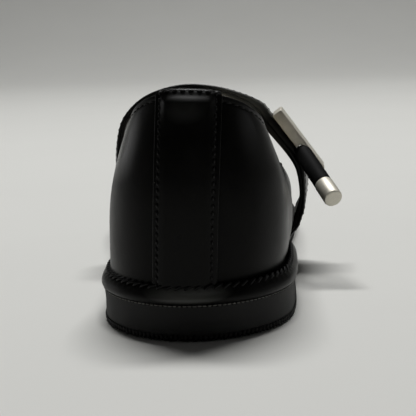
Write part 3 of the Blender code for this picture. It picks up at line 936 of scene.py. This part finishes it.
def make_outsole():
    plan_low = plan_ring(EDGE_MARGIN, "underside", EDGE_LIFT)
    plan_high = plan_ring(SOLE_MARGIN, "top", 0.0)
    rings = [
        plan_ring(TREAD_MARGIN, "underside", 0.0),
        plan_ring((TREAD_MARGIN + EDGE_MARGIN) / 2, "underside", BEVEL_BULGE * EDGE_LIFT),
    ]
    for row in SIDE_ROWS:
        rings.append(plan_low + np.array((row.out, row.out, row.height)) * (plan_high - plan_low))
    rings.append(plan_ring(SOLE_MARGIN - TOP_ROUND, "top", 0.0))

    def tread(x, y, share):
        grooves = 0.5 + 0.5 * np.cos(2 * np.pi * y / GROOVE_PITCH)
        inside = ease(share, 0.08, 0.16) * (1 - ease(share, 0.84, 0.92))
        treads = 1 - ease(y, *HEEL_TREAD_END) * (1 - ease(y, *FOREFOOT_TREAD_START))
        return level("underside", y) + GROOVE_DEPTH * ease(grooves, 0.55, 0.8) * inside * treads

    def top(x, y, share):
        return level("top", y)

    nets = [net(np.array(rings), loop_columns=True), cover(rings[0], 26, tread), cover(rings[-1], 8, top)]
    add_piece("rubber_outsole", join_nets(nets), BLACK_RUBBER, ("outsole",))


# Heel strip over the back seam, folded over the collar

STRIP_WIDTH = 18.8
STRIP_CENTRE_BOTTOM = -1.8
STRIP_CENTRE_TOP = 1.3
STRIP_LIE = 0.12  # the strip lies this far off the upper
STRIP_THICKNESS = 1.1
STRIP_FOOT = 0.085  # height on the wall where it goes behind the rand
STRIP_TURNED_IN = 0.14
STRIP_ROUND = 0.4  # rounding of its cut edges
STRIP_PITCH = 2.2
SEAM_INNER, SEAM_OUTER = 1.3, 1.65  # from each edge to its row of stitches
STRIP_TOP_SEAM = 2.4  # from the fold's highest place to its row of stitches
STRIP_FULLNESS = 0.4
STRIP_PILLOW = 1.0  # the leather stands out more just below the top seam
STRIP_COLUMNS = 67


def strip_places(across, height):
    """Places round the shoe of points across the strip, at one height on the wall."""
    centre = STRIP_CENTRE_BOTTOM + (STRIP_CENTRE_TOP - STRIP_CENTRE_BOTTOM) * height
    trial = np.linspace(-2, 2, 121)
    sides = wall(trial, np.full(len(trial), height))[:, 0]
    return np.interp(centre + across, sides, trial)


def strip_ground(across, station):
    """Surface under the strip and its outward direction.

    A station up to 1 is a height on the outer face, from 1 to 2 it goes over the rim, and past 2 it comes
    down the inner face.
    """
    height = np.full(len(across), 1 - max(station - 2, 0) if station > 1 else station)
    place = strip_places(across, height[0])
    point, outwards, upwards = wall_frame(place, height)
    if station <= 1:
        return point, outwards
    if station >= 2:
        return point - WALL * outwards, -outwards
    angle = (station - 1) * np.pi
    middle = point - WALL / 2 * outwards
    ground = middle + WALL / 2 * math.cos(angle) * outwards + RIM_LIFT * math.sin(angle) * upwards
    return ground, math.cos(angle) * outwards + math.sin(angle) * upwards


def strip_net(across, stations):
    """The strip's outer face and its directions, its back, and the distance from the fold."""
    grounds = [strip_ground(across, station) for station in stations]
    points = np.array([point for point, _ in grounds])
    outwards = np.array([direction for _, direction in grounds])
    run = distance_along(points + (STRIP_LIE + STRIP_THICKNESS) * outwards)
    apex = np.argmin(np.abs(np.asarray(stations) - 1.5))
    from_fold = run[apex] - run
    rise = STRIP_LIE + strip_relief(across[None, :] + 0 * run, from_fold)
    return points + rise[..., None] * outwards, outwards, points + STRIP_LIE / 2 * outwards, from_fold


def strip_relief(across, from_fold):
    """Cut edges, sunk seams and the fullness between them."""
    inner = across + STRIP_WIDTH / 2
    outer = STRIP_WIDTH / 2 - across
    edge = np.minimum(inner, outer)
    from_edge = np.clip(edge / STRIP_ROUND, 0, 1)
    rounded = STRIP_THICKNESS - STRIP_ROUND * (1 - np.sqrt(1 - (1 - from_edge) ** 2))
    sunk = hill(inner - SEAM_INNER, 0.42) + hill(outer - SEAM_OUTER, 0.42)
    outside = ease(from_fold, -0.6, 0.4)
    seams = SEAM_SINK * sunk * pulled(from_fold, STRIP_PITCH)
    top_seam = 0.5 * SEAM_SINK * hill(from_fold - STRIP_TOP_SEAM, 0.5) * pulled(across, STRIP_PITCH)
    full = STRIP_FULLNESS + STRIP_PILLOW * (1 - ease(from_fold, 4.0, 16.0))
    full = full * ease(edge, 1.4, 4.0) * ease(from_fold, STRIP_TOP_SEAM + 0.4, STRIP_TOP_SEAM + 4.0)
    return rounded - seams - top_seam * outside + full


STRIP_STATIONS = np.concatenate(
    [
        np.linspace(STRIP_FOOT, 0.93, 150, endpoint=False),
        np.linspace(0.93, 1.0, 22, endpoint=False),
        np.linspace(1.0, 2.0, 22, endpoint=False),
        np.linspace(2.0, 2.0 + STRIP_TURNED_IN, 16),
    ]
)


def make_heel_strip():
    across = STRIP_WIDTH / 2 * np.sin(np.linspace(-np.pi / 2, np.pi / 2, STRIP_COLUMNS))
    face, _, back, _ = strip_net(across, STRIP_STATIONS)
    nets = tube(np.concatenate([face, back[:, ::-1]], axis=1))
    add_piece("back_strip", join_nets(nets), STRIP_LEATHER, ("heel_strip",))


# Strap over the instep

STRAP_STEPS = 12
STRAP_SEAM = 2.0
STRAP_PITCH = 2.4
# The strap's cut edge from its face to the seam between its two layers: how far in, and share of thickness
EdgePoint = namedtuple("EdgePoint", "inset share")
FACE_LAYER = (
    EdgePoint(0.6, 0.0),
    EdgePoint(0.25, 0.05),
    EdgePoint(0.04, 0.18),
    EdgePoint(0.0, 0.36),
    EdgePoint(0.1, 0.46),
    EdgePoint(0.35, 0.5),
)
BACK_LAYER = [EdgePoint(point.inset, 1 - point.share) for point in FACE_LAYER[-2::-1]]
STRAP_EDGE = (*FACE_LAYER, *BACK_LAYER)
STRAP_COLUMNS = 43


def strap_path():
    """Rear edge points, width directions, outward directions and thickness along the strap."""
    side, height, thickness, turn, droop, flare = on_path(STRAP, STRAP_STEPS).T
    rear = np.column_stack([side, STRAP_REAR - flare, height])
    heading = unit(np.gradient(rear, axis=0))
    width = unit(np.column_stack([turn, np.ones(len(side)), -droop]))
    outwards = unit(np.cross(heading, width))
    return rear, width * (1 + flare / STRAP_WIDTH)[:, None], outwards, thickness


def strap_relief(across):
    """A slight crown between two sunk seams."""
    edge = np.minimum(across, STRAP_WIDTH - across)
    return 0.25 * ease(edge, 0.6, 5.0) - 0.25 * hill(edge - STRAP_SEAM, 0.45)


def make_strap():
    rear, width, outwards, thickness = strap_path()
    face = np.linspace(STRAP_EDGE[0].inset, STRAP_WIDTH - STRAP_EDGE[0].inset, STRAP_COLUMNS)
    edge = np.array(STRAP_EDGE)[1:-1]
    across = np.concatenate([face, STRAP_WIDTH - edge[:, 0], face[::-1], edge[::-1, 0]])
    share = np.concatenate([0 * face, edge[:, 1], 0 * face + 1, edge[::-1, 1]])
    raised = np.concatenate([strap_relief(face), 0 * edge[:, 1], 0 * face, 0 * edge[:, 1]])
    inwards = thickness[:, None] * share[None, :] - raised[None, :]
    sections = rear[:, None] + across[None, :, None] * width[:, None] - inwards[..., None] * outwards[:, None]
    add_piece("instep_strap", join_nets(tube(sections)), STRAP_LEATHER, ("strap",))


# Clasp: plate, bar and cap

PLATE_BEVEL = 0.6
BAR_SIDES = 64
BAR_RINGS = 16
CUT_RINGS = 5  # the slant of the bar's front end fades out over these rings


def make_plate():
    """A thick block on the strap, then a thinner lip level with its outer face."""
    start = np.array(PLATE_START)
    down = unit(np.array(PLATE_END) - start)
    outwards = np.array([-down[1], down[0]])
    step_rise = BLOCK_THICKNESS - LIP_THICKNESS
    profile = (
        (0.0, 0.0),
        (BLOCK_LENGTH, 0.0),
        (BLOCK_LENGTH, step_rise),
        (PLATE_LENGTH, step_rise),
        (PLATE_LENGTH, BLOCK_THICKNESS),
        (0.0, BLOCK_THICKNESS),
    )
    places = [start + step * down + (rise + PLATE_LIFT) * outwards for step, rise in profile]
    rear = STRAP_REAR - (PLATE_WIDTH - STRAP_WIDTH) / 2
    loops = np.array([[(x, along, z) for x, z in places] for along in (rear, rear + PLATE_WIDTH)])
    builder = join_nets(tube(loops))
    bmesh.ops.bevel(
        builder,
        geom=builder.edges,
        offset=PLATE_BEVEL * METRES,
        segments=4,
        profile=0.5,
        affect="EDGES",
    )
    add_piece("plate", builder, SATIN_NICKEL, ("clasp_plate",), sharp_degrees=30.0)


def bar_rings(stations):
    """The bar's axis, and round sections along it from (place along, radius) pairs."""
    start, end = np.array(BAR_START), np.array(BAR_END)
    axis = unit(end - start)
    sideways = unit(np.cross(axis, (0.0, 0.0, 1.0)))
    upwards = np.cross(sideways, axis)
    angles = np.arange(BAR_SIDES) * 2 * math.pi / BAR_SIDES
    spokes = np.outer(np.cos(angles), sideways) + np.outer(np.sin(angles), upwards)
    return axis, np.array([start + place * axis + radius * spokes for place, radius in stations])


def make_bar():
    """A round bar whose front end lies flat against the plate's rear side."""
    far_end = BAR_LENGTH - CAP_LENGTH - GAP
    places = np.linspace(0.0, far_end - 0.3, BAR_RINGS)
    stations = [(place, BAR_RADIUS) for place in places]
    stations += [(far_end - 0.1, BAR_RADIUS - 0.08), (far_end, BAR_RADIUS - 0.3)]
    axis, rings = bar_rings(stations)
    to_plate = np.outer((BAR_START[1] - rings[0, :, 1]) / axis[1], axis)
    for ring, place in zip(rings[:CUT_RINGS], places):
        ring += (1 - place / places[CUT_RINGS]) * to_plate
    builder = join_nets(tube(rings))
    add_piece("bar", builder, BLACK_LACQUER, ("clasp_bar",), sharp_degrees=30.0)


def make_cap():
    """The nickel cap, with a shallow groove at its mouth and a rounded end."""
    near = BAR_LENGTH - CAP_LENGTH
    stations = (
        (near - 0.12, BAR_RADIUS - 0.3),
        (near - 0.12, BAR_RADIUS - 0.1),
        (near + 0.05, BAR_RADIUS + 0.05),
        (near + 0.3, BAR_RADIUS + 0.12),
        (BAR_LENGTH - 0.7, BAR_RADIUS + 0.12),
        (BAR_LENGTH - 0.3, BAR_RADIUS),
        (BAR_LENGTH - 0.08, BAR_RADIUS - 0.25),
        (BAR_LENGTH, BAR_RADIUS - 0.6),
        (BAR_LENGTH + 0.06, BAR_RADIUS - 1.6),
    )
    builder = join_nets(tube(bar_rings(stations)[1]))
    add_piece("cap", builder, SATIN_NICKEL, ("bar_cap",), sharp_degrees=30.0)


# Stitches and teeth, set along paths by one tree of geometry nodes


def make_sewing_tree():
    """Sets copies of a small shape along a path at an even pitch, upright on the surface under it."""
    tree = bpy.data.node_groups.new("sewing", "GeometryNodeTree")
    sockets = (
        ("Path", "NodeSocketGeometry"),
        ("Pitch", "NodeSocketFloat"),
        ("Slant", "NodeSocketFloat"),
        ("Lift", "NodeSocketFloat"),
        ("Shape", "NodeSocketObject"),
        ("Finish", "NodeSocketMaterial"),
    )
    for name, kind in sockets:
        tree.interface.new_socket(name, in_out="INPUT", socket_type=kind)
    tree.interface.new_socket("Row", in_out="OUTPUT", socket_type="NodeSocketGeometry")
    ins = tree.nodes.new("NodeGroupInput").outputs
    outs = tree.nodes.new("NodeGroupOutput").inputs
    curve = add_node(tree, "GeometryNodeMeshToCurve", Mesh=ins["Path"])
    even = add_node(
        tree,
        "GeometryNodeResampleCurve",
        {"mode": "LENGTH"},
        Curve=curve.outputs["Curve"],
        Length=ins["Pitch"],
    )
    outward = add_node(tree, "GeometryNodeInputNamedAttribute", {"data_type": "FLOAT_VECTOR"}, Name="out")
    tangent = tree.nodes.new("GeometryNodeInputTangent")
    lifted = add_node(tree, "ShaderNodeVectorMath", {"operation": "SCALE"}, Scale=ins["Lift"])
    tree.links.new(outward.outputs["Attribute"], lifted.inputs[0])
    raised = add_node(
        tree,
        "GeometryNodeSetPosition",
        Geometry=even.outputs["Curve"],
        Offset=lifted.outputs["Vector"],
    )
    upright = add_node(
        tree,
        "FunctionNodeAxesToRotation",
        {"primary_axis": "Z", "secondary_axis": "X"},
        Primary_Axis=outward.outputs["Attribute"],
        Secondary_Axis=tangent.outputs["Tangent"],
    )
    slant = add_node(tree, "FunctionNodeAxisAngleToRotation", Axis=(0.0, 0.0, 1.0), Angle=ins["Slant"])
    turn = add_node(
        tree,
        "FunctionNodeRotateRotation",
        {"rotation_space": "LOCAL"},
        Rotation=upright.outputs["Rotation"],
        Rotate_By=slant.outputs["Rotation"],
    )
    shape = add_node(tree, "GeometryNodeObjectInfo", Object=ins["Shape"])
    placed = add_node(
        tree,
        "GeometryNodeInstanceOnPoints",
        Points=raised.outputs["Geometry"],
        Instance=shape.outputs["Geometry"],
        Rotation=turn.outputs["Rotation"],
    )
    real = add_node(tree, "GeometryNodeRealizeInstances", Geometry=placed.outputs["Instances"])
    finished = add_node(
        tree,
        "GeometryNodeSetMaterial",
        Geometry=real.outputs["Geometry"],
        Material=ins["Finish"],
    )
    tree.links.new(finished.outputs["Geometry"], outs["Row"])
    return tree


SEWING = make_sewing_tree()

# Stitches: length and radius of the thread, how deep its ends sink, pitch, slant in radians and lift
Stitch = namedtuple(
    "Stitch",
    "length radius sink pitch slant lift finish slot",
    defaults=(0.0, 0.0, BLACK_THREAD, "black_leather"),
)
STRIP_STITCH = Stitch(1.75, 0.3, 0.45, STRIP_PITCH, 0.12, 0.12)
TOPLINE_STITCH = Stitch(2.05, 0.3, 0.45, TOPLINE_PITCH, 0.1, 0.12)
WHIPSTITCH = Stitch(3.5, 0.5, 0.55, WHIP_PITCH, 0.5, 0.05)
SEAM_DASH = Stitch(1.15, 0.2, 0.15, 1.5, finish=SEAM_THREAD)
STRAP_STITCH = Stitch(1.9, 0.28, 0.4, STRAP_PITCH, 0.1, 0.1)
SOCK_STITCH = Stitch(2.2, 0.25, 0.3, 3.2, finish=PALE_THREAD, slot="pale_leather")
THREAD_SIDES = 7
# A stitch from end to end: share of its half length, and share of its radius
Girth = namedtuple("Girth", "along radius")
GIRTHS = (
    Girth(-1.0, 0.35),
    Girth(-0.85, 0.8),
    Girth(-0.5, 1.0),
    Girth(0.0, 1.0),
    Girth(0.5, 1.0),
    Girth(0.85, 0.8),
    Girth(1.0, 0.35),
)
# Teeth of the sole's edge: wedges that narrow downwards, from shares of their height and width
TOOTH_WIDTH = 1.1
TOOTH_HEIGHT = 1.7
TOOTH_DEPTH = 0.5
TOOTH_PITCH = 1.5
Wedge = namedtuple("Wedge", "up width")
TOOTH_WEDGES = (Wedge(0.5, 1.0), Wedge(0.0, 0.95), Wedge(-0.35, 0.6), Wedge(-0.5, 0.25))


def thread_rings(stitch):
    """A length of thread whose ends bow down into the leather."""
    angles = np.arange(THREAD_SIDES) * 2 * np.pi / THREAD_SIDES
    spokes = np.column_stack([0 * angles, np.cos(angles), 0.85 * np.sin(angles)])
    rings = []
    for girth in GIRTHS:
        bow = stitch.radius * 0.5 - stitch.sink * girth.along**2
        middle = np.array((girth.along * stitch.length / 2, 0.0, bow))
        rings.append(middle + stitch.radius * girth.radius * spokes)
    return np.array(rings)


def tooth_rings():
    rings = []
    for wedge in TOOTH_WEDGES:
        half = TOOTH_WIDTH / 2 * wedge.width
        front = TOOTH_DEPTH * (0.6 + 0.4 * wedge.width)
        sides = ((-half, -TOOTH_DEPTH), (half, -TOOTH_DEPTH), (0.7 * half, front), (-0.7 * half, front))
        rings.append([(across, wedge.up * TOOTH_HEIGHT, out) for across, out in sides])
    return np.array(rings)


def set_along(name, points, outwards, closed, rings, finish, slot, pitch, slant=0.0, lift=0.0):
    """Sets a small shape along a path of points with their outward directions, and keeps the plain mesh."""
    count = len(points)
    edges = [(number, (number + 1) % count) for number in range(count if closed else count - 1)]
    mesh = bpy.data.meshes.new(name + "_path")
    mesh.from_pydata(((points + SHIFT) * METRES).tolist(), edges, [])
    attribute = mesh.attributes.new("out", "FLOAT_VECTOR", "POINT")
    attribute.data.foreach_set("vector", outwards.ravel())
    path = add_object(name + "_path", mesh)
    shape = add_object(name + "_shape", smooth_mesh(name + "_shape", join_nets(tube(rings), shift=0.0)))
    modifier = path.modifiers.new("sewing", "NODES")
    modifier.node_group = SEWING
    values = {
        "Pitch": pitch * METRES,
        "Slant": slant,
        "Lift": lift * METRES,
        "Shape": shape,
        "Finish": finish,
    }
    for item in SEWING.interface.items_tree:
        if item.name in values:
            modifier[item.identifier] = values[item.name]
    evaluated = path.evaluated_get(bpy.context.evaluated_depsgraph_get())
    row = bpy.data.meshes.new_from_object(evaluated)
    path.modifiers.remove(modifier)
    bpy.data.objects.remove(path)
    bpy.data.objects.remove(shape)
    row.name = name
    row.shade_smooth()
    hand_over(name, row)


def sew(name, points, outwards, stitch, closed=False):
    """A row of stitches along a path."""
    laid = (stitch.finish, stitch.slot, stitch.pitch, stitch.slant, stitch.lift)
    set_along(name, points, outwards, closed, thread_rings(stitch), *laid)


def sew_strip():
    """Rows of stitches down both edges of the heel strip and across its top."""
    ends = (SEAM_INNER - STRIP_WIDTH / 2, STRIP_WIDTH / 2 - SEAM_OUTER)
    stations = np.linspace(STRIP_FOOT, 1.1, 160)
    for name, across in zip(("inner", "outer"), ends):
        points, outwards, _, _ = strip_net(np.array([across]), stations)
        sew(f"strip_stitches_{name}", points[:, 0], outwards[:, 0], STRIP_STITCH)
    columns = 60
    points, outwards, _, from_fold = strip_net(np.linspace(*ends, columns), STRIP_STATIONS)
    number = np.argmin(np.abs(from_fold[:, columns // 2] - STRIP_TOP_SEAM))
    sew("strip_stitches_top", points[number], outwards[number], STRIP_STITCH)


def sew_topline():
    """The row of stitches under the rolled edge, from one side of the heel strip round to the other."""
    strip_height, clear = 0.98, 0.02
    inner_edge, outer_edge = strip_places(np.array([-STRIP_WIDTH / 2, STRIP_WIDTH / 2]), strip_height)
    place = np.linspace(outer_edge + clear, RIB_COUNT + inner_edge - clear, 900)
    points, outwards, _ = wall_frame(place, heights_below(place, TOPLINE_SEAM))
    points = points + topline_relief(np.array(TOPLINE_SEAM)) * outwards
    sew("topline_stitches", points, outwards, TOPLINE_STITCH)


def sideways():
    """Level directions that lead straight out from the feather line."""
    out = feather(RING)[1]
    return np.column_stack([out, np.zeros(len(RING))])


def sew_rand():
    """Slanted whipstitches over the rand, and the seam between rand and sole."""
    out_and_up = unit(0.62 * sideways() + np.array((0.0, 0.0, 0.78)))
    sew("rand_whipstitches", rand_ring(WHIP_OUT, WHIP_HEIGHT), out_and_up, WHIPSTITCH, closed=True)
    seam = plan_ring(SOLE_MARGIN + 0.05, "top", 0.12)
    sew("sole_seam", seam, sideways(), SEAM_DASH, closed=True)


def set_sole_teeth():
    """A row of small teeth along the sole's lower edge."""
    edge = plan_ring(EDGE_MARGIN, "underside", EDGE_LIFT - 0.3)
    laid = (tooth_rings(), BLACK_RUBBER, "black_rubber", TOOTH_PITCH)
    set_along("sole_teeth", edge, sideways(), True, *laid)


def sew_strap():
    """A row of stitches along each edge of the strap."""
    rear, width, outwards, _ = strap_path()
    for name, across in (("rear", STRAP_SEAM), ("front", STRAP_WIDTH - STRAP_SEAM)):
        points = rear + across * width + strap_relief(np.array(across)) * outwards
        sew(f"strap_stitches_{name}", points, outwards, STRAP_STITCH)


def sew_sock():
    """A row of stitches round the sock, a little in from its edge."""
    ring = sock_ring(4.5, SOCK_THICKNESS + 0.28)
    upwards = np.tile((0.0, 0.0, 1.0), (len(ring), 1))
    sew("sock_stitches", ring, upwards, SOCK_STITCH, closed=True)


# Floor, light and camera

PALE_FLOOR = (0.72, 0.72, 0.69)
FLOOR_TONES = (0.98, 1.02)
DARK_ROOM = (0.002, 0.002, 0.002, 1.0)
LIGHT_ROOM = (0.022, 0.022, 0.021, 1.0)
IMAGE_SIDE = 416
# Stage in metres: the floor runs from far behind the heel to beyond the toe and then sweeps up into a wall
STAGE_HALF = 5.0
STAGE_NEAR = -3.0
SWEEP_START = 1.2
SWEEP_RADIUS = 1.0
WALL_TOP = 3.0
SWEEP_STEPS = 24


def make_floor():
    """A plain pale floor that sweeps up into a wall beyond the toe."""
    angles = np.linspace(0, np.pi / 2, SWEEP_STEPS)
    along = [STAGE_NEAR, *(SWEEP_START + SWEEP_RADIUS * np.sin(angles)), SWEEP_START + SWEEP_RADIUS]
    height = [0.0, *(SWEEP_RADIUS * (1 - np.cos(angles))), WALL_TOP]
    rows = [[(side, y, z) for side in (-STAGE_HALF, STAGE_HALF)] for y, z in zip(along, height)]
    points, faces = net(np.array(rows))
    mesh = bpy.data.meshes.new("floor")
    mesh.from_pydata(points.tolist(), [], [face[::-1] for face in faces])
    mesh.shade_smooth()
    material, tree, shader = new_material("pale_floor")
    mottle = add_node(tree, "ShaderNodeTexNoise", Vector=object_place(tree), Scale=9.0, Detail=3.0)
    dark, light = (shaded(PALE_FLOOR, tone) for tone in FLOOR_TONES)
    colour = mix_colours(tree, mottle.outputs["Fac"], dark, light)
    put_all(tree, shader, {"Base Color": colour, "Roughness": 0.8, "Specular IOR Level": 0.1})
    mesh.materials.append(material)
    floor = add_object("floor", mesh)


# Lamps: places and sizes in metres, power in watts, spread in degrees
AreaLamp = namedtuple("AreaLamp", "name place target width depth power spread")
LAMPS = (
    AreaLamp("overhead", (0.0, 0.56, 2.0), (0.0, -0.05, 0.0), 1.2, 0.22, 26.5, 150.0),
    AreaLamp("inner_panel", (-1.8, 0.85, 0.35), (0.0, 0.0, 0.05), 1.2, 0.6, 1.1, 180.0),
    AreaLamp("outer_panel", (1.9, 0.25, 0.65), (0.0, 0.0, 0.05), 1.3, 0.5, 0.8, 180.0),
    AreaLamp("behind", (0.2, -0.95, 1.8), (0.0, 0.0, 0.0), 1.6, 0.1, 0.55, 180.0),
)


def aim(place, target):
    return (Vector(target) - Vector(place)).to_track_quat("-Z", "Y").to_matrix().to_4x4()


def make_lamps():
    for lamp in LAMPS:
        data = bpy.data.lights.new(lamp.name, "AREA")
        data.shape = "RECTANGLE"
        data.size = lamp.width
        data.size_y = lamp.depth
        data.energy = lamp.power
        data.spread = math.radians(lamp.spread)
        light = add_object(lamp.name, data)
        light.matrix_world = Matrix.Translation(lamp.place) @ aim(lamp.place, lamp.target)


def make_world():
    """A dim room, lighter on the toe side than behind the camera."""
    world = bpy.data.worlds.new("studio")
    bpy.context.scene.world = world
    world.use_nodes = True
    tree = world.node_tree
    direction = tree.nodes.new("ShaderNodeTexCoord").outputs["Generated"]
    parts = add_node(tree, "ShaderNodeSeparateXYZ", Vector=direction)
    towards_toe = spread(tree, parts.outputs["Y"], 0.0, 1.0, -0.4, 0.6)
    room = mix_colours(tree, towards_toe, DARK_ROOM, LIGHT_ROOM)
    put(tree, tree.nodes["Background"].inputs["Color"], room)


# Camera behind the heel, a little above it: distances in millimetres, turns in degrees
CAMERA_DISTANCE = 300.0
CAMERA_HEIGHT = 94.6
CAMERA_SIDE = 6.466
CAMERA_YAW = 5.0
CAMERA_PITCH = 10.232
CAMERA_ROLL = -1.985
FOCAL_PIXELS = 1050.9
SENSOR = 36.0


def make_camera():
    yaw, pitch, roll = (math.radians(turn) for turn in (CAMERA_YAW, CAMERA_PITCH, CAMERA_ROLL))
    level_right = Vector((math.cos(yaw), math.sin(yaw), 0.0))
    level_ahead = Vector((-math.sin(yaw), math.cos(yaw), 0.0))
    upright = Vector((0.0, 0.0, 1.0))
    ahead = math.cos(pitch) * level_ahead - math.sin(pitch) * upright
    tilted_up = math.sin(pitch) * level_ahead + math.cos(pitch) * upright
    right = math.cos(roll) * level_right + math.sin(roll) * tilted_up
    up = math.cos(roll) * tilted_up - math.sin(roll) * level_right
    place = CAMERA_SIDE * level_right - CAMERA_DISTANCE * level_ahead + CAMERA_HEIGHT * upright
    data = bpy.data.cameras.new("camera")
    data.sensor_width = SENSOR
    data.lens = FOCAL_PIXELS * SENSOR / IMAGE_SIDE
    data.clip_start = 0.001
    camera = add_object("camera", data)
    turn = Matrix((right, up, -ahead)).transposed().to_4x4()
    camera.matrix_world = Matrix.Translation((place + Vector(SHIFT)) * METRES) @ turn
    bpy.context.scene.camera = camera


make_camera()
make_upper()
make_lining()
make_sock()
make_rand()
make_outsole()
make_heel_strip()
make_strap()
make_plate()
make_bar()
make_cap()
sew_strip()
sew_topline()
sew_rand()
set_sole_teeth()
sew_strap()
sew_sock()
make_floor()
make_lamps()
make_world()
bpy.context.scene.view_settings.view_transform = "Standard"
